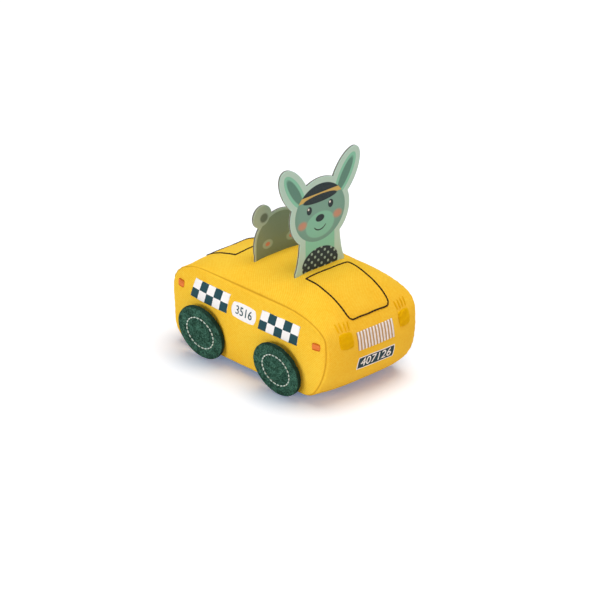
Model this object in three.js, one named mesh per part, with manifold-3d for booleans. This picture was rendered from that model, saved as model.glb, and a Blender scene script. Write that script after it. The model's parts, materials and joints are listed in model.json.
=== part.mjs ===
// Pull-back toy car: a stuffed fabric cab, with felt wheel discs on its sides and two cut-out cards
// in its roof, on a hidden plastic chassis that holds two axles and a spring motor.
// Millimetres. +X is forward, +Y is the car's left, +Z is up.
// The origin is on the floor, under the middle of the car.
import * as THREE from "three";
import { mergeVertices } from "three/addons/utils/BufferGeometryUtils.js";
import Module from "manifold-3d";

const wasm = await Module();
wasm.setup();

// Fits between pieces
const gap = 0.3; // between pieces that lie against each other, and round a turning shaft
const pressGap = 0.1; // round a pressed or glued shaft
const looseGap = 0.6; // between the cloth and the stuffing

// Fabric body, measured on its outside
const fabric = 0.9; // cloth with its backing
const hem = 0.45; // edge of a side panel, where it laps over the edge of the wrap
const bodyLength = 121; // over the stuffed nose and tail
const roofHeight = 57.2; // above the floor
const undersideHeight = 3.3; // flat underside above the floor
const noseSwell = 5.3; // of the nose past the seam
const tailSwell = 4; // of the tail past the seam
const seamHalfTop = 31.2; // half the width between the two side seams, at the roof
const seamHalfBottom = 30; // and at the underside
const sideBulge = 5.4; // swell of a stuffed side past its seam
const sideRoundness = { along: 4, upright: 2 }; // powers of the side's swell: higher is flatter
// Powers of the wrap's crown between the seams, higher being flatter, and the share of the way to the nose or
// the tail over which the roof's passes into theirs
const crownRoundness = { roof: 3.7, nose: 4.2, tail: 2.4 };
const crownBlend = { from: 0.45, to: 0.9 };
// Side views of the seam and of the wrap's middle. Each corner is a quarter of a rounded shape, with its run
// along X and its rise along Z: a fullness of 2 is an ellipse, and more is squarer.
const seamLine = {
  front: bodyLength / 2 - noseSwell,
  rear: tailSwell - bodyLength / 2,
  top: 47.5,
  bottom: undersideHeight,
  bonnet: { run: 31.5, rise: 12, fullness: 2.4 },
  chin: { run: 16.5, rise: 26.5, fullness: 1.9 },
  boot: { run: 25, rise: 19, fullness: 2.4 },
  tail: { run: 9, rise: 12, fullness: 2 },
};
const crownLine = {
  front: bodyLength / 2,
  rear: -bodyLength / 2,
  top: roofHeight,
  bottom: undersideHeight,
  bonnet: { run: 34, rise: 30, fullness: 2.2 },
  chin: { run: 18, rise: 28, fullness: 1.9 },
  boot: { run: 75, rise: 29, fullness: 2.15 },
  tail: { run: 11, rise: 14, fullness: 2 },
};
const stuffingMiddle = { x: 0, z: 25 }; // where the outlines are measured from

// Felt wheel discs, sewn flat on the sides
const felt = 3;
const discRadius = 15.2;
const discEdge = 0.8; // rounding of the felt's rim
const rearDisc = { x: -28.9, z: 16.5 }; // middle of a rear disc's back
const frontDisc = { x: 26.2, z: 15.6 }; // and of a front disc's

// Cut-out cards, which stand in slits across the roof
const card = 1.2;
const tabHalf = 16.5; // half the width of a card's tab
const tabDepth = 8; // of the tab below the roof
const driverX = 17.75;
const passengerX = -11.5;
const neckHalf = 13; // of the driver card, below the head
const head = { half: 20, rise: 18.5, middle: 29 };
const ear = { half: 7.5, rise: 15, out: 17, middle: 44.5, lean: 0.56 };
const hump = { half: 17, rise: 16, middle: 5 }; // back of the passenger card
const bobTail = { radius: 6.2, out: 11.5, middle: 20 };

// Wheels and axles
const rearAxleX = -28.4;
const frontAxleX = 23;
const axleRadius = 1.5;
const wheelRadius = 9; // over the tyre, so it is the axles' height too
const wheelWidth = 6;
const wheelFace = 21.3; // outer face of a wheel from the middle
const tyre = 2; // rubber above the rim
const tyreRound = 0.7; // rounding of a tyre's shoulders
const dish = { rim: 1.4, depth: 1.6, boss: 3.2 }; // hollow in a wheel's outer face

// Chassis: a tray below the cloth and a cover above it, which clamp the cloth between their flanges
const plate = 1.2; // tray floor and both flanges
const wall = 1.2; // tray lip and cover walls
const wellClear = 0.8; // round each wheel
const wellSide = 1; // from a wheel's face to the tray lip
const flangeWidth = 2.5;
const flangeCorner = 4;
const lipHeight = 6; // of the tray's lip above its floor
const post = { length: 7, width: 2, height: 9.7, middle: 13 }; // the front axle's bearings
const boss = { radius: 3, height: 8, side: 17, fromWheel: 5 }; // pillars for the screws
const screw = { radius: 1.1, length: 13, headRadius: 2.1, headHeight: 1 };

// Spring motor, in a case of two halves
const caseWall = 1.2;
const caseBottom = 2.4; // the case shows through the tray's floor
const caseCorner = 3;
const gearClear = 1; // from the gears to the case
const ledge = { rear: -15, front: 1, width: 3.6, height: 1.6 }; // feet of the case on the tray's floor
const toothModule = 0.7;
const toothAddendum = 0.56;
const toothDedendum = 0.8;
const toothTip = 0.34; // width of a tooth at its tip
const toothRoot = 1.12; // width of a tooth at its root
const axleTeeth = 10;
const compoundTeeth = 20;
const pinionTeeth = 10;
const springTeeth = 24;
const compoundAngle = THREE.MathUtils.degToRad(30); // of the compound gear above the rear axle
const pinRadius = 1;
const arborRadius = 1.2;
const wheelTrain = { low: 3, high: 6.5 }; // across the car: axle gear and compound wheel
const springTrain = { low: -1.2, high: 2.4 }; // pinion and spring gear
const springBand = { low: -6.8, high: -1.8 }; // mainspring, in one plane
const hubRadius = 2.4; // of the spring gear's hub, inside the spring
const spring = { strip: 0.45, pitch: 1.05, turns: 5 };
const motorScrew = { radius: 0.9, headRadius: 1.8, headHeight: 1, boss: 2, inset: 2.6 };

// Facets
const cornerSteps = 7; // per quarter of a body outline
const roundSides = 20;
const smallSides = 10;
const discSides = 28;

const materials = {
  cloth: new THREE.MeshStandardMaterial({ color: 0xf7b91c, roughness: 0.95, metalness: 0 }),
  stuffing: new THREE.MeshStandardMaterial({ color: 0xf2efe6, roughness: 1, metalness: 0 }),
  felt: new THREE.MeshStandardMaterial({ color: 0x1f4a3d, roughness: 1, metalness: 0 }),
  driver: new THREE.MeshStandardMaterial({ color: 0x9ccbb8, roughness: 0.6, metalness: 0 }),
  passenger: new THREE.MeshStandardMaterial({ color: 0x7d9078, roughness: 0.6, metalness: 0 }),
  plastic: new THREE.MeshStandardMaterial({ color: 0x202326, roughness: 0.55, metalness: 0 }),
  motorCase: new THREE.MeshStandardMaterial({ color: 0x33373b, roughness: 0.5, metalness: 0 }),
  gear: new THREE.MeshStandardMaterial({ color: 0xeeeade, roughness: 0.45, metalness: 0 }),
  rubber: new THREE.MeshStandardMaterial({ color: 0x17181a, roughness: 0.9, metalness: 0 }),
  steel: new THREE.MeshStandardMaterial({ color: 0xb9bdc2, roughness: 0.3, metalness: 1 }),
};

// Solids: joining and cutting

function solid(geometry) {
  const bare = new THREE.BufferGeometry();
  bare.setAttribute("position", geometry.getAttribute("position"));
  bare.setIndex(geometry.getIndex());
  const merged = mergeVertices(bare, 1e-4);
  return new wasm.Manifold(
    new wasm.Mesh({
      numProp: 3,
      vertProperties: new Float32Array(merged.getAttribute("position").array),
      triVerts: new Uint32Array(merged.getIndex().array),
    }),
  );
}

function geometryOf(made) {
  const mesh = made.getMesh();
  const geometry = new THREE.BufferGeometry();
  geometry.setAttribute("position", new THREE.BufferAttribute(mesh.vertProperties, 3));
  geometry.setIndex(new THREE.BufferAttribute(mesh.triVerts, 1));
  geometry.computeVertexNormals();
  return geometry;
}

function combine(joined, cuts = []) {
  let made = solid(joined[0]);
  for (const extra of joined.slice(1)) made = made.add(solid(extra));
  for (const cut of cuts) made = made.subtract(solid(cut));
  return geometryOf(made);
}

// Plain shapes

function box(x, y, z) {
  const size = [x, y, z].map(([low, high]) => high - low);
  const middle = [x, y, z].map(([low, high]) => (high + low) / 2);
  return new THREE.BoxGeometry(...size).translate(...middle);
}

function rodAcross(x, z, radius, [low, high], sides = smallSides) {
  return new THREE.CylinderGeometry(radius, radius, high - low, sides).translate(x, (low + high) / 2, z);
}

function rodUp(x, y, radius, [low, high], sides = smallSides) {
  return new THREE.CylinderGeometry(radius, radius, high - low, sides)
    .rotateX(Math.PI / 2)
    .translate(x, y, (low + high) / 2);
}

// A shape drawn in (x, z), thick across the car
function slabAcross(shape, [low, high], curveSegments = smallSides / 2) {
  return new THREE.ExtrudeGeometry(shape, { depth: high - low, bevelEnabled: false, curveSegments })
    .rotateX(Math.PI / 2)
    .translate(0, high, 0);
}

// A shape drawn in (x, y), thick upwards
function slabUp(shape, [low, high]) {
  return new THREE.ExtrudeGeometry(shape, { depth: high - low, bevelEnabled: false, curveSegments: 5 })
    .translate(0, 0, low);
}

function roundedRectangle([left, right], [low, high], corner) {
  return new THREE.Shape()
    .moveTo(left + corner, low)
    .lineTo(right - corner, low)
    .absarc(right - corner, low + corner, corner, -Math.PI / 2, 0)
    .lineTo(right, high - corner)
    .absarc(right - corner, high - corner, corner, 0, Math.PI / 2)
    .lineTo(left + corner, high)
    .absarc(left + corner, high - corner, corner, Math.PI / 2, Math.PI)
    .lineTo(left, low + corner)
    .absarc(left + corner, low + corner, corner, Math.PI, Math.PI * 1.5);
}

// Closed skin over closed rings of points, with a fan to one point at each end
function skin(rings, ends) {
  const points = rings.flat();
  const count = rings[0].length;
  const faces = [];
  for (let i = 0; i + 1 < rings.length; i++) {
    for (let k = 0; k < count; k++) {
      const other = (k + 1) % count;
      const [a, b] = [i * count + k, i * count + other];
      const [c, d] = [b + count, a + count];
      faces.push(a, b, c, a, c, d);
    }
  }
  const last = (rings.length - 1) * count;
  const [start, end] = [points.length, points.length + 1];
  points.push(...ends);
  for (let k = 0; k < count; k++) {
    const other = (k + 1) % count;
    faces.push(start, other, k, end, last + k, last + other);
  }
  const geometry = new THREE.BufferGeometry().setFromPoints(points);
  geometry.setIndex(faces);
  geometry.computeVertexNormals();
  return geometry;
}

// Body outlines

// Points of an outline, from the bottom of the chin over the roof to the bottom of the tail
function outlinePoints(line, inset) {
  const corners = [
    [line.front - line.chin.run, line.bottom + line.chin.rise, line.chin],
    [line.front - line.bonnet.run, line.top - line.bonnet.rise, line.bonnet],
    [line.rear + line.boot.run, line.top - line.boot.rise, line.boot],
    [line.rear + line.tail.run, line.bottom + line.tail.rise, line.tail],
  ];
  return corners.flatMap(([x, z, { run, rise, fullness }], quarter) =>
    Array.from({ length: cornerSteps + 1 }, (_, i) => {
      const angle = (quarter - 1 + i / cornerSteps) * (Math.PI / 2);
      const [across, up] = [Math.cos(angle), Math.sin(angle)].map(
        (share) => Math.sign(share) * Math.abs(share) ** (2 / fullness),
      );
      return new THREE.Vector2(x + (run - inset) * across, z + (rise - inset) * up);
    }),
  );
}

// Distance from the stuffing's middle to a closed outline, along a direction
function reach(points, direction) {
  let found = 0;
  points.forEach((p, i) => {
    const q = points[(i + 1) % points.length];
    const edge = q.clone().sub(p);
    const from = new THREE.Vector2(p.x - stuffingMiddle.x, p.y - stuffingMiddle.z);
    const across = direction.cross(edge);
    if (Math.abs(across) < 1e-9) return;
    const along = from.cross(edge) / across;
    const share = from.cross(direction) / across;
    if (along > 0 && share > -1e-6 && share < 1 + 1e-6) found = Math.max(found, along);
  });
  return found;
}

function directionTo(point) {
  return new THREE.Vector2(point.x - stuffingMiddle.x, point.y - stuffingMiddle.z).normalize();
}

// Directions of the seam's points, with the long straight of the roof divided
function seamDirections() {
  const points = outlinePoints(seamLine, 0);
  const roofEnd = 2 * (cornerSteps + 1);
  const [front, rear] = [points[roofEnd - 1], points[roofEnd]];
  const between = [1, 2, 3].map((i) => front.clone().lerp(rear, i / 4));
  points.splice(roofEnd, 0, ...between);
  return points.map(directionTo);
}

const directions = seamDirections();

// How far the cloth of the left side stands from the middle of the car
function sideReach(x, z) {
  const height = (z - seamLine.bottom) / (seamLine.top - seamLine.bottom);
  const seam = THREE.MathUtils.lerp(seamHalfBottom, seamHalfTop, height);
  const [dx, dz] = [x - stuffingMiddle.x, z - stuffingMiddle.z];
  const along = dx / ((dx > 0 ? seamLine.front : seamLine.rear) - stuffingMiddle.x);
  const upright = dz / ((dz > 0 ? seamLine.top : seamLine.bottom) - stuffingMiddle.z);
  return seam + sideBulge * (1 - along ** sideRoundness.along) * (1 - upright ** sideRoundness.upright);
}

// Power of the wrap's crown in one direction from the stuffing's middle
function crownPower(direction) {
  const share = THREE.MathUtils.smoothstep(Math.abs(direction.x), crownBlend.from, crownBlend.to);
  const end = direction.x > 0 ? crownRoundness.nose : crownRoundness.tail;
  return THREE.MathUtils.lerp(crownRoundness.roof, end, share);
}

// Point of the wrap's surface: `across` runs from -1 to 1 between its edges, which pass the seam by `edge`
function wrapPoint(direction, across, inset, edge) {
  const seam = reach(outlines.get(`seam ${inset}`), direction);
  const crown = reach(outlines.get(`crown ${inset}`), direction);
  const distance = seam + (crown - seam) * (1 - Math.abs(across) ** crownPower(direction));
  const half = sideReach(stuffingMiddle.x + direction.x * seam, stuffingMiddle.z + direction.y * seam) + edge;
  return new THREE.Vector3(
    stuffingMiddle.x + direction.x * distance,
    across * half,
    stuffingMiddle.z + direction.y * distance,
  );
}

// Point of the left side's surface: `out` runs from 0 at its middle to 1 at its edge, `past` is further out
function sidePoint(direction, out, past, inset = 0) {
  const distance = out * reach(outlines.get(`seam ${inset}`), direction);
  const x = stuffingMiddle.x + direction.x * distance;
  const z = stuffingMiddle.z + direction.y * distance;
  return new THREE.Vector3(x, sideReach(x, z) + past, z);
}

const stuffingInset = fabric + looseGap;
const outlines = new Map();
for (const inset of [0, fabric, stuffingInset]) {
  outlines.set(`seam ${inset}`, outlinePoints(seamLine, inset));
  outlines.set(`crown ${inset}`, outlinePoints(crownLine, inset));
}

// Chassis sizes that follow from the wheels

const wheelInner = wheelFace - wheelWidth;
const plateTop = undersideHeight - gap;
const plateBottom = plateTop - plate;
const lipTop = plateTop + lipHeight;
const inside = {
  rear: rearAxleX - wheelRadius - wellClear,
  front: frontAxleX + wheelRadius + wellClear,
  half: wheelFace + wellSide,
};

// The chassis's inside, grown on every side
function grown(by) {
  return {
    x: [inside.rear - by, inside.front + by],
    y: [-inside.half - by, inside.half + by],
  };
}

const lipOuter = grown(wall);
const coverInner = grown(wall + gap);
const coverOuter = grown(2 * wall + gap);
const flangeOuter = grown(2 * wall + gap + flangeWidth);
const clothTop = undersideHeight + fabric;
const coverFlange = [clothTop + gap, clothTop + gap + plate];

// Motor sizes that follow from its gears

const pitchRadius = (teeth) => (toothModule * teeth) / 2;
const axle = { x: rearAxleX, z: wheelRadius };
const compoundReach = pitchRadius(axleTeeth) + pitchRadius(compoundTeeth);
const compound = {
  x: axle.x + compoundReach * Math.cos(compoundAngle),
  z: axle.z + compoundReach * Math.sin(compoundAngle),
};
const arbor = { x: compound.x + pitchRadius(pinionTeeth) + pitchRadius(springTeeth), z: compound.z };
const springTip = pitchRadius(springTeeth) + toothAddendum;
const caseInside = {
  x: [axle.x - pitchRadius(axleTeeth) - toothAddendum - gearClear, arbor.x + springTip + gearClear],
  y: [springBand.low - gearClear, wheelTrain.high + gearClear],
  z: [caseBottom + caseWall, arbor.z + springTip + gearClear],
};
const caseOuter = Object.fromEntries(
  Object.entries(caseInside).map(([axis, [low, high]]) => [axis, [low - caseWall, high + caseWall]]),
);
const caseSplit = (springTrain.high + wheelTrain.low) / 2;
const motorScrews = [
  { x: caseInside.x[0] + motorScrew.inset, z: caseInside.z[1] - motorScrew.inset },
  { x: caseInside.x[1] - motorScrew.inset / 2, z: caseInside.z[1] - motorScrew.inset / 2 },
];
const coverInsideTop = caseOuter.z[1] + gap;
const coverTop = coverInsideTop + wall;

const screwRows = [rearAxleX + wheelRadius + boss.fromWheel, frontAxleX - wheelRadius - boss.fromWheel];
const screwPlaces = screwRows.flatMap((x) => [-boss.side, boss.side].map((y) => ({ x, y })));

// Fabric pieces

// The slit that a card's tab stands in
function slit(x) {
  const half = card / 2 + gap;
  return box(
    [x - half, x + half],
    [-tabHalf - gap, tabHalf + gap],
    [crownLine.top - tabDepth - gap, crownLine.top + tabDepth],
  );
}

const wrapColumns = [-1, -0.9, -0.72, -0.4, 0, 0.4, 0.72, 0.9, 1];

function wrapPanel() {
  const edge = -gap / 2 - hem;
  const rings = directions.map((direction) => [
    ...wrapColumns.map((across) => wrapPoint(direction, across, 0, edge)),
    ...wrapColumns.toReversed().map((across) => wrapPoint(direction, across, fabric, edge)),
  ]);
  const [first, last] = [rings[0], rings.at(-1)];
  const middle = (ring) => ring.reduce((sum, p) => sum.add(p), new THREE.Vector3()).divideScalar(ring.length);
  const cloth = skin(rings, [middle(first), middle(last)]);
  return combine([facing(cloth, 1)], [slit(driverX), slit(passengerX)]);
}

const sideRows = [0.35, 0.65, 0.85, 1];

function sidePanel(side) {
  const edge = gap / 2;
  const inwards = (out) => edge - hem - (fabric - hem) * (1 - out ** 6);
  const outer = sideRows.map((out) => directions.map((d) => sidePoint(d, out, edge)));
  const inner = sideRows.map((out) => directions.map((d) => sidePoint(d, out, inwards(out))));
  const ends = [edge, inwards(0)].map((past) => sidePoint(directions[0], 0, past));
  return facing(skin([...outer, ...inner.toReversed()], ends), side);
}

// A piece modelled on the car's left, mirrored for its right; faces are turned to point outwards
function facing(geometry, side) {
  const placed = geometry.clone().scale(1, side, 1);
  return solid(placed).volume() < 0 ? turned(placed) : placed;
}

function turned(geometry) {
  const index = Array.from(geometry.getIndex().array);
  for (let i = 0; i < index.length; i += 3) [index[i + 1], index[i + 2]] = [index[i + 2], index[i + 1]];
  geometry.setIndex(index);
  geometry.computeVertexNormals();
  return geometry;
}

function bottomPanel() {
  const ends = [directions.at(-1), directions[0]].map((d) => wrapPoint(d, 0, fabric, 0).x);
  const half = sideReach(stuffingMiddle.x, undersideHeight) - hem - gap;
  const outline = roundedRectangle([ends[0] + gap, ends[1] - gap], [-half, half], fabric);
  const opening = grown(wall + gap);
  return combine(
    [slabUp(outline, [undersideHeight, clothTop])],
    [box(opening.x, opening.y, [0, 2 * clothTop])],
  );
}

function stuffing() {
  const capRows = [0.35, 0.65, 0.85];
  const side = (sign, out) =>
    directions.map((direction) => {
      const point = sidePoint(direction, out, -stuffingInset, stuffingInset);
      point.y *= sign;
      return point;
    });
  const band = (across) => directions.map((d) => wrapPoint(d, across, stuffingInset, -stuffingInset));
  const rings = [
    ...capRows.map((out) => side(-1, out)),
    ...wrapColumns.map(band),
    ...capRows.toReversed().map((out) => side(1, out)),
  ];
  const poles = [-1, 1].map((sign) => side(sign, 0)[0]);
  const filled = facing(skin(rings, poles), 1);
  const pocket = grown(2 * wall + 2 * gap);
  const rim = grown(2 * wall + 2 * gap + flangeWidth);
  return combine(
    [filled],
    [
      box(pocket.x, pocket.y, [0, coverTop + gap]),
      box(rim.x, rim.y, [0, coverFlange[1] + gap]),
      slit(driverX),
      slit(passengerX),
    ],
  );
}

// Felt discs

// A disc leans with its side, but doesn't turn with the taper towards the ends of the car
function discNormal(x, z) {
  const step = 0.5;
  const slope = (sideReach(x, z + step) - sideReach(x, z - step)) / (2 * step);
  return new THREE.Vector3(0, 1, -slope).normalize();
}

function feltDisc() {
  const rim = discRadius - discEdge;
  const profile = [
    [0, 0],
    [rim, 0],
    [discRadius, discEdge],
    [discRadius, felt - discEdge],
    [rim, felt],
    [0, felt],
  ].map(([r, h]) => new THREE.Vector2(r, h));
  return new THREE.LatheGeometry(profile, discSides).rotateX(Math.PI / 2);
}

function placeDisc(mesh, { x, z }, side) {
  const normal = discNormal(x, z);
  const seat = new THREE.Vector3(x, sideReach(x, z) + gap / 2, z);
  seat.addScaledVector(normal, gap);
  for (const v of [normal, seat]) v.y *= side;
  mesh.position.copy(seat);
  mesh.quaternion.setFromUnitVectors(new THREE.Vector3(0, 0, 1), normal);
}

// Cards: drawn in (y, height above the roof), thick along the car

function cardSlab(shape) {
  return new THREE.ExtrudeGeometry(shape, { depth: card, bevelEnabled: false, curveSegments: smallSides })
    .rotateX(Math.PI / 2)
    .rotateZ(Math.PI / 2)
    .translate(-card / 2, 0, crownLine.top);
}

const oval = (y, z, half, rise, lean = 0) =>
  new THREE.Shape().absellipse(y, z, half, rise, 0, Math.PI * 2, false, lean);

// The tab in the roof, and above it a stem that runs from the tab's width to its own
function tab(half, top) {
  return new THREE.Shape()
    .moveTo(-tabHalf, -tabDepth)
    .lineTo(tabHalf, -tabDepth)
    .lineTo(tabHalf, 0)
    .quadraticCurveTo(half, top / 4, half, top)
    .lineTo(-half, top)
    .quadraticCurveTo(-half, top / 4, -tabHalf, 0);
}

function driverCard() {
  const ears = [-1, 1].map((side) =>
    oval(side * ear.out, ear.middle, ear.half, ear.rise, -side * ear.lean),
  );
  const shapes = [tab(neckHalf, head.middle), oval(0, head.middle, head.half, head.rise), ...ears];
  return combine(shapes.map(cardSlab));
}

function passengerCard() {
  const shapes = [
    tab(hump.half, hump.middle + gap),
    new THREE.Shape().absellipse(0, hump.middle, hump.half, hump.rise, 0, Math.PI),
    oval(-bobTail.out, bobTail.middle, bobTail.radius, bobTail.radius),
  ];
  return combine(shapes.map(cardSlab));
}

// Wheels: turned about local Z, then laid across the car

function lathed(profile, sides = roundSides) {
  const points = profile.map(([r, h]) => new THREE.Vector2(r, h));
  return new THREE.LatheGeometry([...points, points[0]], sides);
}

function wheelHub() {
  const rim = wheelRadius - tyre - pressGap;
  const bore = axleRadius + pressGap;
  const floor = wheelWidth - dish.depth;
  return lathed([
    [bore, 0],
    [rim, 0],
    [rim, wheelWidth],
    [rim - dish.rim, wheelWidth],
    [rim - dish.rim, floor],
    [dish.boss, floor],
    [dish.boss, wheelWidth],
    [bore, wheelWidth],
  ]);
}

function wheelTyre() {
  const inner = wheelRadius - tyre;
  return lathed([
    [inner, 0],
    [wheelRadius - tyreRound, 0],
    [wheelRadius, tyreRound],
    [wheelRadius, wheelWidth - tyreRound],
    [wheelRadius - tyreRound, wheelWidth],
    [inner, wheelWidth],
  ]);
}

function axleRod() {
  return rodAcross(0, 0, axleRadius, [-wheelFace, wheelFace], roundSides);
}

// Gears: drawn in (x, z) about their own centre

function gearShape(teeth, phase, bore) {
  const pitch = pitchRadius(teeth);
  const corners = [
    [pitch - toothDedendum, -toothRoot],
    [pitch + toothAddendum, -toothTip],
    [pitch + toothAddendum, toothTip],
    [pitch - toothDedendum, toothRoot],
  ];
  const points = Array.from({ length: teeth }, (_, i) =>
    corners.map(([radius, width]) => {
      const angle = phase + (i / teeth) * Math.PI * 2 + width / 2 / radius;
      return new THREE.Vector2(radius * Math.cos(angle), radius * Math.sin(angle));
    }),
  ).flat();
  const shape = new THREE.Shape(points);
  shape.holes.push(new THREE.Path().absarc(0, 0, bore, 0, Math.PI * 2));
  return shape;
}

// A gear's turn that puts a gap between two teeth towards its mate
const gapTowards = (angle, teeth) => angle + Math.PI + Math.PI / teeth;

function axleGear() {
  const shape = gearShape(axleTeeth, compoundAngle, axleRadius + pressGap);
  return slabAcross(shape, [wheelTrain.low, wheelTrain.high]);
}

function compoundGear() {
  const bore = pinRadius + gap;
  const big = gearShape(compoundTeeth, gapTowards(compoundAngle, compoundTeeth), bore);
  const small = gearShape(pinionTeeth, 0, bore);
  return combine([
    slabAcross(big, [wheelTrain.low, wheelTrain.high]),
    slabAcross(small, [springTrain.low, wheelTrain.high]),
  ]);
}

function springGear() {
  const bore = arborRadius + gap;
  const wheel = gearShape(springTeeth, gapTowards(0, springTeeth), bore);
  const hub = new THREE.Shape().absarc(0, 0, hubRadius, 0, Math.PI * 2);
  hub.holes.push(new THREE.Path().absarc(0, 0, bore, 0, Math.PI * 2));
  return combine([
    slabAcross(wheel, [springTrain.low, springTrain.high - gap]),
    slabAcross(hub, [springBand.low, springTrain.high - gap]),
  ]);
}

// Flat spiral strip round the spring gear's hub
function mainspring() {
  const steps = spring.turns * 12;
  const edge = (offset) =>
    Array.from({ length: steps + 1 }, (_, i) => {
      const turn = (i / steps) * spring.turns;
      const radius = hubRadius + gap + spring.pitch * turn + offset;
      const angle = turn * Math.PI * 2;
      return new THREE.Vector2(radius * Math.cos(angle), radius * Math.sin(angle));
    });
  const shape = new THREE.Shape([...edge(0), ...edge(spring.strip).toReversed()]);
  return slabAcross(shape, [springBand.low, springBand.high]);
}

// Motor case

function caseHalf(side) {
  const near = caseSplit + (side * gap) / 2;
  const far = side > 0 ? caseOuter.y[1] : caseOuter.y[0];
  const hollow = side > 0 ? [near - gap, caseInside.y[1]] : [caseInside.y[0], near + gap];
  const span = [Math.min(near, far), Math.max(near, far)];
  const shell = slabAcross(roundedRectangle(caseOuter.x, caseOuter.z, caseCorner), span);
  const inner = slabAcross(roundedRectangle(caseInside.x, caseInside.z, caseCorner - caseWall), hollow);
  const foot = side > 0 ? [far - caseWall / 2, far + ledge.width] : [far - ledge.width, far + caseWall / 2];
  const feet = box([ledge.rear, ledge.front], foot, [plateTop + gap, plateTop + gap + ledge.height]);
  const through = [caseOuter.y[0] - caseWall, caseOuter.y[1] + caseWall];
  const bosses = motorScrews.map(({ x, z }) => rodAcross(x, z, motorScrew.boss, span));
  const bores = [
    rodAcross(axle.x, axle.z, axleRadius + gap, through, roundSides),
    rodAcross(compound.x, compound.z, pinRadius + pressGap, through),
    rodAcross(arbor.x, arbor.z, arborRadius + pressGap, through),
    ...motorScrews.map(({ x, z }) => rodAcross(x, z, motorScrew.radius + pressGap, through)),
  ];
  const walls = solid(shell).subtract(solid(inner));
  return combine([geometryOf(walls), feet, ...bosses], bores);
}

function motorScrewShape() {
  const [low, high] = caseOuter.y;
  return combine([
    rodAcross(0, 0, motorScrew.radius, [low + caseWall / 2, high + gap]),
    rodAcross(0, 0, motorScrew.headRadius, [high + gap, high + gap + motorScrew.headHeight]),
  ]);
}

// Chassis

function wheelWindows() {
  const half = wheelRadius + wellClear;
  const wells = [rearAxleX, frontAxleX].map((x) => [x - half, x + half]);
  const tracks = [-1, 1].map((side) =>
    [side * (wheelInner - wellSide), side * (wheelFace + wellSide)].sort((a, b) => a - b),
  );
  return wells.flatMap((x) => tracks.map((y) => box(x, y, [0, plateTop + gap])));
}

function chassisTray() {
  const floor = slabUp(roundedRectangle(flangeOuter.x, flangeOuter.y, flangeCorner), [plateBottom, plateTop]);
  const lip = solid(box(lipOuter.x, lipOuter.y, [plateBottom, lipTop])).subtract(
    solid(box(grown(0).x, grown(0).y, [0, 2 * lipTop])),
  );
  const posts = [-1, 1].map((side) => {
    const y = [side * post.middle - post.width / 2, side * post.middle + post.width / 2];
    return box([frontAxleX - post.length / 2, frontAxleX + post.length / 2], y, [
      plateBottom,
      plateTop + post.height,
    ]);
  });
  const pillars = screwPlaces.map(({ x, y }) =>
    rodUp(x, y, boss.radius, [plateBottom, plateTop + boss.height], roundSides),
  );
  const motorWindow = box(
    [caseOuter.x[0] - gap, caseOuter.x[1] + gap],
    [caseOuter.y[0] - gap, caseOuter.y[1] + gap],
    [0, plateTop + gap],
  );
  const slotHalf = axleRadius + gap;
  const axleSlots = box(
    [frontAxleX - slotHalf, frontAxleX + slotHalf],
    [-post.middle - post.width, post.middle + post.width],
    [wheelRadius - slotHalf, plateTop + 2 * post.height],
  );
  const screwHoles = screwPlaces.flatMap(({ x, y }) => [
    rodUp(x, y, screw.radius + pressGap, [0, coverTop]),
    rodUp(x, y, screw.headRadius + gap, [0, plateBottom + screw.headHeight], roundSides),
  ]);
  return combine(
    [floor, geometryOf(lip), ...posts, ...pillars],
    [...wheelWindows(), motorWindow, axleSlots, ...screwHoles],
  );
}

function chassisCover() {
  const shell = box(coverOuter.x, coverOuter.y, [coverFlange[0], coverTop]);
  const flange = slabUp(roundedRectangle(flangeOuter.x, flangeOuter.y, flangeCorner), coverFlange);
  const hollow = box(coverInner.x, coverInner.y, [0, coverInsideTop]);
  const keepers = [-1, 1].map((side) =>
    box(
      [frontAxleX - axleRadius, frontAxleX + axleRadius],
      [side * post.middle - post.width / 2, side * post.middle + post.width / 2],
      [wheelRadius + axleRadius + gap, coverTop - wall / 2],
    ),
  );
  const pillars = screwPlaces.map(({ x, y }) =>
    rodUp(x, y, boss.radius, [plateTop + boss.height + gap, coverTop - wall / 2], roundSides),
  );
  const pilots = screwPlaces.map(({ x, y }) => rodUp(x, y, screw.radius + pressGap, [0, coverInsideTop]));
  const walls = solid(shell).add(solid(flange)).subtract(solid(hollow));
  return combine([geometryOf(walls), ...keepers, ...pillars], pilots);
}

function chassisScrew() {
  return combine([
    rodUp(0, 0, screw.headRadius, [0, screw.headHeight - pressGap]),
    rodUp(0, 0, screw.radius, [0, screw.length]),
  ]);
}

// Assembly

function piece(parent, name, geometry, material) {
  const mesh = new THREE.Mesh(geometry, material);
  mesh.name = name;
  parent.add(mesh);
  return mesh;
}

const SIDES = { left: 1, right: -1 };

function cab() {
  const group = new THREE.Group();
  piece(group, "wrap_panel", wrapPanel(), materials.cloth);
  piece(group, "bottom_panel", bottomPanel(), materials.cloth);
  piece(group, "stuffing", stuffing(), materials.stuffing);
  for (const [name, side] of Object.entries(SIDES)) {
    piece(group, `side_panel_${name}`, sidePanel(side), materials.cloth);
    placeDisc(piece(group, `felt_disc_rear_${name}`, feltDisc(), materials.felt), rearDisc, side);
    placeDisc(piece(group, `felt_disc_front_${name}`, feltDisc(), materials.felt), frontDisc, side);
  }
  piece(group, "driver_card", driverCard(), materials.driver).position.x = driverX;
  piece(group, "passenger_card", passengerCard(), materials.passenger).position.x = passengerX;
  return group;
}

function chassis() {
  const group = new THREE.Group();
  piece(group, "chassis_tray", chassisTray(), materials.plastic);
  piece(group, "chassis_cover", chassisCover(), materials.plastic);
  screwPlaces.forEach(({ x, y }, i) => {
    const mesh = piece(group, `chassis_screw_${i + 1}`, chassisScrew(), materials.steel);
    mesh.position.set(x, y, plateBottom);
  });
  return group;
}

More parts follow.
